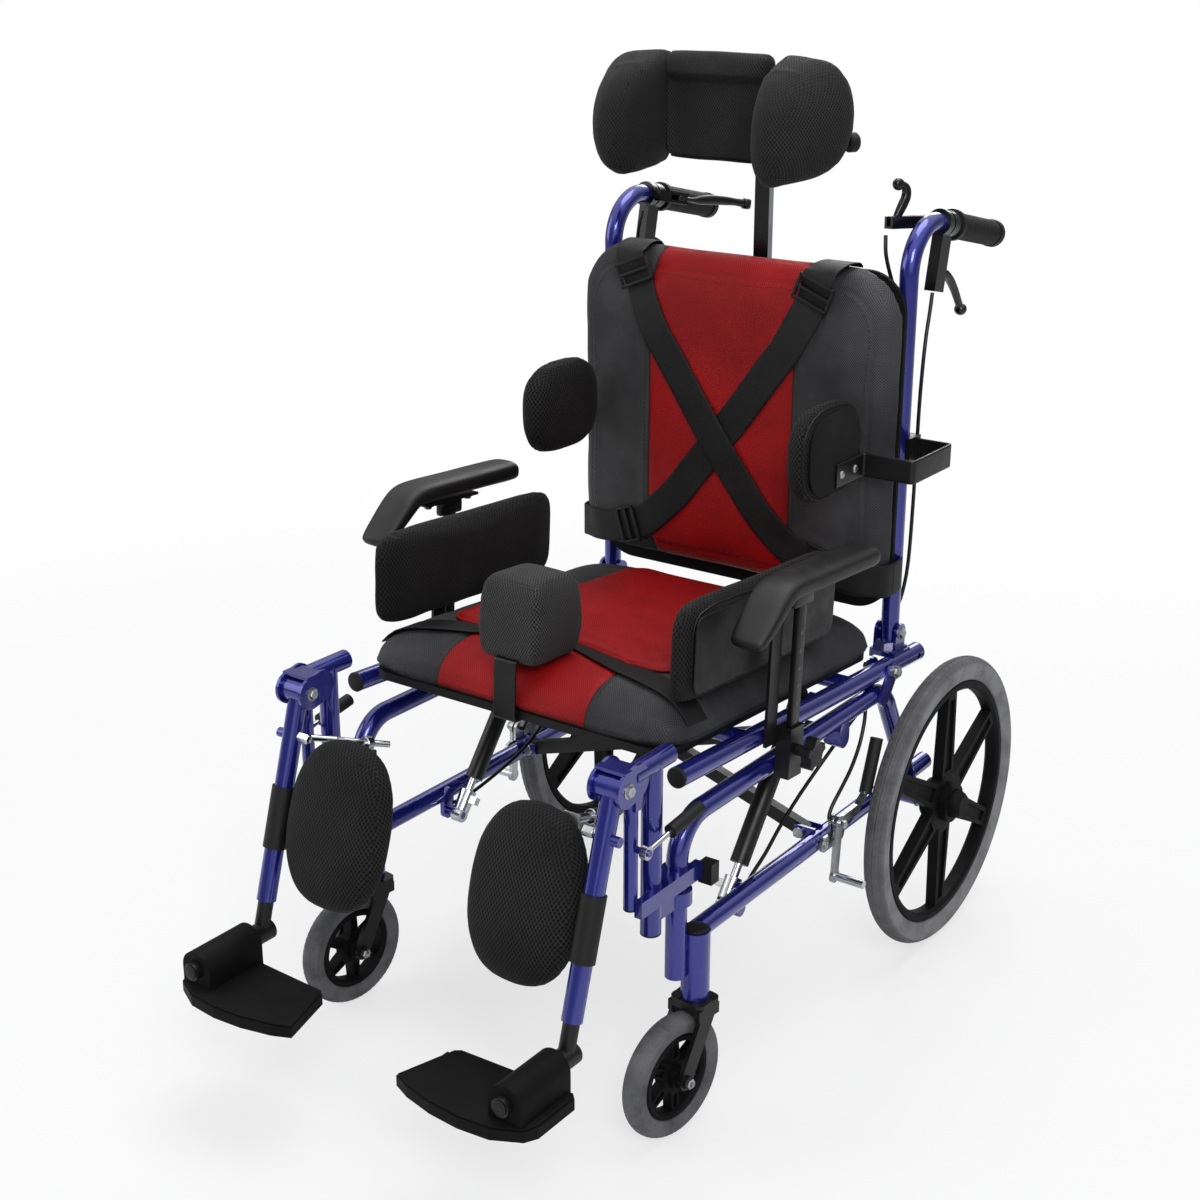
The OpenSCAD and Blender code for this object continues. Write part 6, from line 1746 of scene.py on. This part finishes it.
def hex_bolt(name, body, place, out, r, height, washer=False):
    """A hexagon head or nut, on a washer or not; out is the way it points along X."""
    d = Vector((out, 0, 0))
    place = Vector(place)
    profile = [(0, r), (height - 0.8, r), (height, r - 0.9), (height + 0.05, 0.1)]
    parts = [turned("head", place + d if washer else place, d, profile, 6, None, ZINC)]
    if washer:
        profile = [(0, r + 2.0), (0.8, r + 2.0), (1.0, r + 1.6)]
        parts.append(turned("washer", place, d, profile, 28, None, ZINC))
    settle(merge(name, parts), body, "chrome")


def bolts():
    """Heads and nuts at the pivots and axles."""
    for side_name, s in SIDES:
        for name, body, x, y_z, out, r, height, washer in (
            ("tilt_bolt_head_", "base", 262, (TILT_Y, TILT_Z), s, 6.4, 4.2, False),
            ("tilt_bolt_nut_", "base", 218, (TILT_Y, TILT_Z), -s, 6.4, 4.2, False),
            ("axle_bolt_head_", "base", 217, AXLE, -s, 8.4, 4.0, False),
            ("lock_bolt_", "base", 270, (106, 262), s, 5.6, 3.2, False),
            ("knee_bolt_", "hanger_" + side_name, 250.5, KNEE, s, 6.6, 4.0, True),
            ("knee_nut_", "hanger_" + side_name, 209.5, KNEE, -s, 6.6, 4.0, True),
            ("recline_bolt_", "seat", 241.5, RECLINE, s, 6.6, 4.2, True),
        ):
            hex_bolt(name + side_name, body, (s * x, *y_z), out, r, height, washer)


def bead(name, centre, axis, r):
    """A weld bead round a joint of the base, a little uneven."""
    u, v = basis(Vector(axis))
    line, radii = [], []
    for k in range(61):
        a = 2 * math.pi * k / 60
        wave = 0.35 * math.sin(a * 14) + 0.2 * math.sin(a * 5 + 1)
        line.append(Vector(centre) + (u * math.cos(a) + v * math.sin(a)) * (r + 0.2 * wave))
        radii.append(2.0 + 0.3 * wave)
    settle(tube_part(name, line, radii, 8, None, BLUE, False), "base", "frame_blue")


grips()
plugs()
bolts()
for side_name, s in SIDES:
    bead("bead_post_" + side_name, (s * FRAME_X, -222.0, 238), (0, 1, 0), 12.2)
    bead("bead_leg_" + side_name, (s * FRAME_X, 338.4, 238), (0, 1, 0), 12.6)
    bead("bead_axle_" + side_name, (s * 253, *AXLE), (1, 0, 0), 16.4)


# Levers: tapered blades with rounded ends, in the slots of their bodies


def blade_part(name, path, widths, heights):
    """A bar along points in its own X-Y plane; widths lie in the plane and heights square to it."""
    path = smooth_route(path, 5)
    n = len(path)

    def spread(values, i):
        t = i / (n - 1) * (len(values) - 1)
        k = min(int(t), len(values) - 2)
        return values[k] + (values[k + 1] - values[k]) * (t - k)

    rings = []
    for i, p in enumerate(path):
        d = (path[min(i + 1, n - 1)] - path[max(i - 1, 0)]).normalized()
        side = Vector((-d.y, d.x, 0)).normalized()
        up = d.cross(side)
        end = min(1.0, min(i, n - 1 - i) / 2.0)
        k = 0.45 + 0.55 * math.sqrt(max(0.0, 1 - (1 - end) ** 2))
        w, h = spread(widths, i) / 2 * k, spread(heights, i) / 2 * k
        rings.append([p + side * (w * u) + up * (h * v) for u, v in circle(20, 3)])
    return finish_part(loft_rings(name, rings), None, GLOSS, 50)


def turn_xyz(x, y, z):
    """A rotation in degrees about X, then Y, then Z."""
    turns = [Matrix.Rotation(math.radians(angle), 4, axis) for angle, axis in ((z, "Z"), (y, "Y"), (x, "X"))]
    return turns[0] @ turns[1] @ turns[2]


def place_lever(name, blade, tip, eye, s, matrix, body):
    """Joins a blade, its rounded tip and the eye round its pivot, and mirrors them where s is below 0."""
    tip = turned("tip", tip[0], (0, 0, 1), tip[1], 24, None, GLOSS, 60)
    ring = [(0, 6.2), (0.5, 6.8), (5.9, 6.8), (6.4, 6.2)]
    eye = turned("eye", (*eye, -3.2), (0, 0, 1), ring, 24, None, GLOSS)
    piece = merge(name, [blade, tip, eye])
    piece.data.transform(matrix)
    if s < 0:
        piece.data.transform(Matrix.Diagonal((-1, 1, 1, 1)))
        piece.data.flip_normals()
    settle(piece, body, "black_plastic", body)


def levers():
    """The hooked release lever on the left handle, the straight one on the right and two brake levers."""
    handle = Matrix.Translation(HANDLE_START * 0.001) @ Matrix.Rotation(-HANDLE_BEND, 4, "X")
    start = handle @ Matrix.Translation(mm(-21, 0, 8))
    path = [(52, 2, 0), (48, 10, 0), (42, 20, 0), (36.5, 30, 0), (36, 39, 0), (41, 45, 0), (50, 46.5, 0)]
    hook = blade_part("hook", path, [10, 11, 12, 12, 11, 9, 9], [6.4, 8, 10, 10, 10, 9, 9])
    round_end = [(0, 4.6), (1.4, 6.6), (3.4, 7.6), (5.4, 7.9), (7.4, 7.6), (9.4, 6.6), (10.8, 4.6)]
    tip = (50, 46.5, -5.4), round_end
    upright = start @ turn_xyz(180, 110, 0) @ turn_xyz(0, 0, -8)
    place_lever("release_hook_left", hook, tip, (52, 2), 1, upright, "release_lever_left")
    path = [(34, 2, 0), (54, 3, 0), (68, 3.4, 1.6), (88, 4, 4.2), (110, 4.2, 6), (130, 6, 6.6)]
    path.append((146, 9.6, 6.2))
    blade = blade_part("blade", path, [9, 9, 11, 12, 11, 10, 10], [6.4, 6.4, 12, 14, 13, 10.5, 12])
    tip = (147, 9.8, -1.2), [(0, 4.8), (1.4, 6.6), (4, 7.2), (10.6, 7.2), (13.2, 6.6), (14.6, 4.8)]
    flat = start @ turn_xyz(90, -110, 0)
    place_lever("release_blade_right", blade, tip, (34, 2), -1, flat, "release_lever_right")
    path = [(18, 60, 0), (32, 60.6, 0), (46, 63, 0), (62, 70, 0), (78, 80.5, 0), (92, 92, 0), (105, 103, 0)]
    tip = (106, 104, -7.6), [(0, 3.2), (1.2, 5.4), (4, 7.4), (7.6, 8.2), (11.2, 7.4), (14, 5.4), (15.2, 3.2)]
    down = handle @ turn_xyz(0, -90, 0)
    for side_name, s in SIDES:
        arm = blade_part("arm", path, [10, 10, 11, 11, 10, 9, 8.5], [6.4, 6.4, 9.5, 10, 9.5, 9, 8.5])
        place_lever("brake_arm_" + side_name, arm, tip, (18, 60), s, down, "brake_lever_" + side_name)


levers()


# Stage and light


def build_stage():
    """The floor, the white studio round it and four lamps."""
    bm = bmesh.new()
    bmesh.ops.create_grid(bm, x_segments=2, y_segments=2, size=90)
    floor = from_bmesh("floor", bm, False)
    paint = bpy.data.materials.new("floor")
    paint.use_nodes = True
    tree = paint.node_tree
    tree.nodes.clear()
    graph = Graph(tree)
    out = graph.node("OutputMaterial")
    matte = graph.node("BsdfDiffuse")
    matte.inputs["Color"].default_value = (0.86, 0.86, 0.86, 1)
    glow = graph.node("Emission")
    glow.inputs["Color"].default_value = (1, 1, 1, 1)
    mixed = graph.node("MixShader")
    path = graph.node("LightPath")
    place = graph.node("TexCoord").outputs["Object"]
    far = graph.step(graph.vector("LENGTH", place), 0.9, 2.6, 0.66, 1.0)
    seen = graph.math("MULTIPLY", path.outputs["Is Camera Ray"], far)
    graph.put(mixed.inputs[0], seen)
    graph.put(mixed.inputs[1], matte.outputs[0])
    graph.put(mixed.inputs[2], glow.outputs[0])
    graph.put(out.inputs[0], mixed.outputs[0])
    floor.data.materials.append(paint)

    world = bpy.data.worlds.new("studio")
    bpy.context.scene.world = world
    world.use_nodes = True
    tree = world.node_tree
    tree.nodes.clear()
    graph = Graph(tree)
    out = graph.node("OutputWorld")
    shown = graph.node("Background")
    shown.inputs["Color"].default_value = (1, 1, 1, 1)
    shown.inputs["Strength"].default_value = 1.0
    lighting = graph.node("Background")
    lighting.inputs["Color"].default_value = (0.95, 0.97, 1.0, 1)
    lighting.inputs["Strength"].default_value = 0.36
    mirrored = graph.node("Background")
    mirrored.inputs["Color"].default_value = (1, 1, 1, 1)
    toward = graph.node("TexCoord").outputs["Generated"]
    height = graph.split(toward)[2]
    sky = graph.step(height, 0.20, 0.80, 0.22, 1.20)
    strip = graph.step(graph.vector("DOT_PRODUCT", toward, (0.64, -0.70, 0.31)), 0.84, 0.93, 0.0, 1.1)
    side = graph.step(graph.vector("DOT_PRODUCT", toward, (-0.86, -0.42, 0.28)), 0.90, 0.96, 0.0, 0.9)
    graph.put(mirrored.inputs["Strength"], graph.math("MAXIMUM", sky, graph.math("MAXIMUM", strip, side)))
    mixed = graph.node("MixShader")
    glossy = graph.node("MixShader")
    path = graph.node("LightPath")
    graph.put(glossy.inputs[0], path.outputs["Is Glossy Ray"])
    graph.put(glossy.inputs[1], lighting.outputs[0])
    graph.put(glossy.inputs[2], mirrored.outputs[0])
    direct = graph.math("MAXIMUM", path.outputs["Is Camera Ray"], path.outputs["Is Transmission Ray"])
    graph.put(mixed.inputs[0], direct)
    graph.put(mixed.inputs[1], glossy.outputs[0])
    graph.put(mixed.inputs[2], shown.outputs[0])
    graph.put(out.inputs[0], mixed.outputs[0])

    aim = Vector((0, -0.05, 0.6))
    for name, place, size, power in (
        ("key", (2.4, -2.6, 3.0), 1.5, 74),
        ("fill", (-3.0, -2.0, 1.9), 2.4, 34),
        ("top", (0.2, 0.6, 3.6), 2.0, 52),
        ("rim", (-1.0, 3.2, 2.2), 1.6, 34),
    ):
        lamp = bpy.data.lights.new(name, "AREA")
        lamp.shape = "SQUARE"
        lamp.size = size
        lamp.energy = power
        holder = add_object(name, lamp)
        holder.location = place
        holder.rotation_euler = (aim - Vector(place)).to_track_quat("-Z", "Y").to_euler()
    bpy.context.scene.view_settings.view_transform = "Standard"


build_stage()
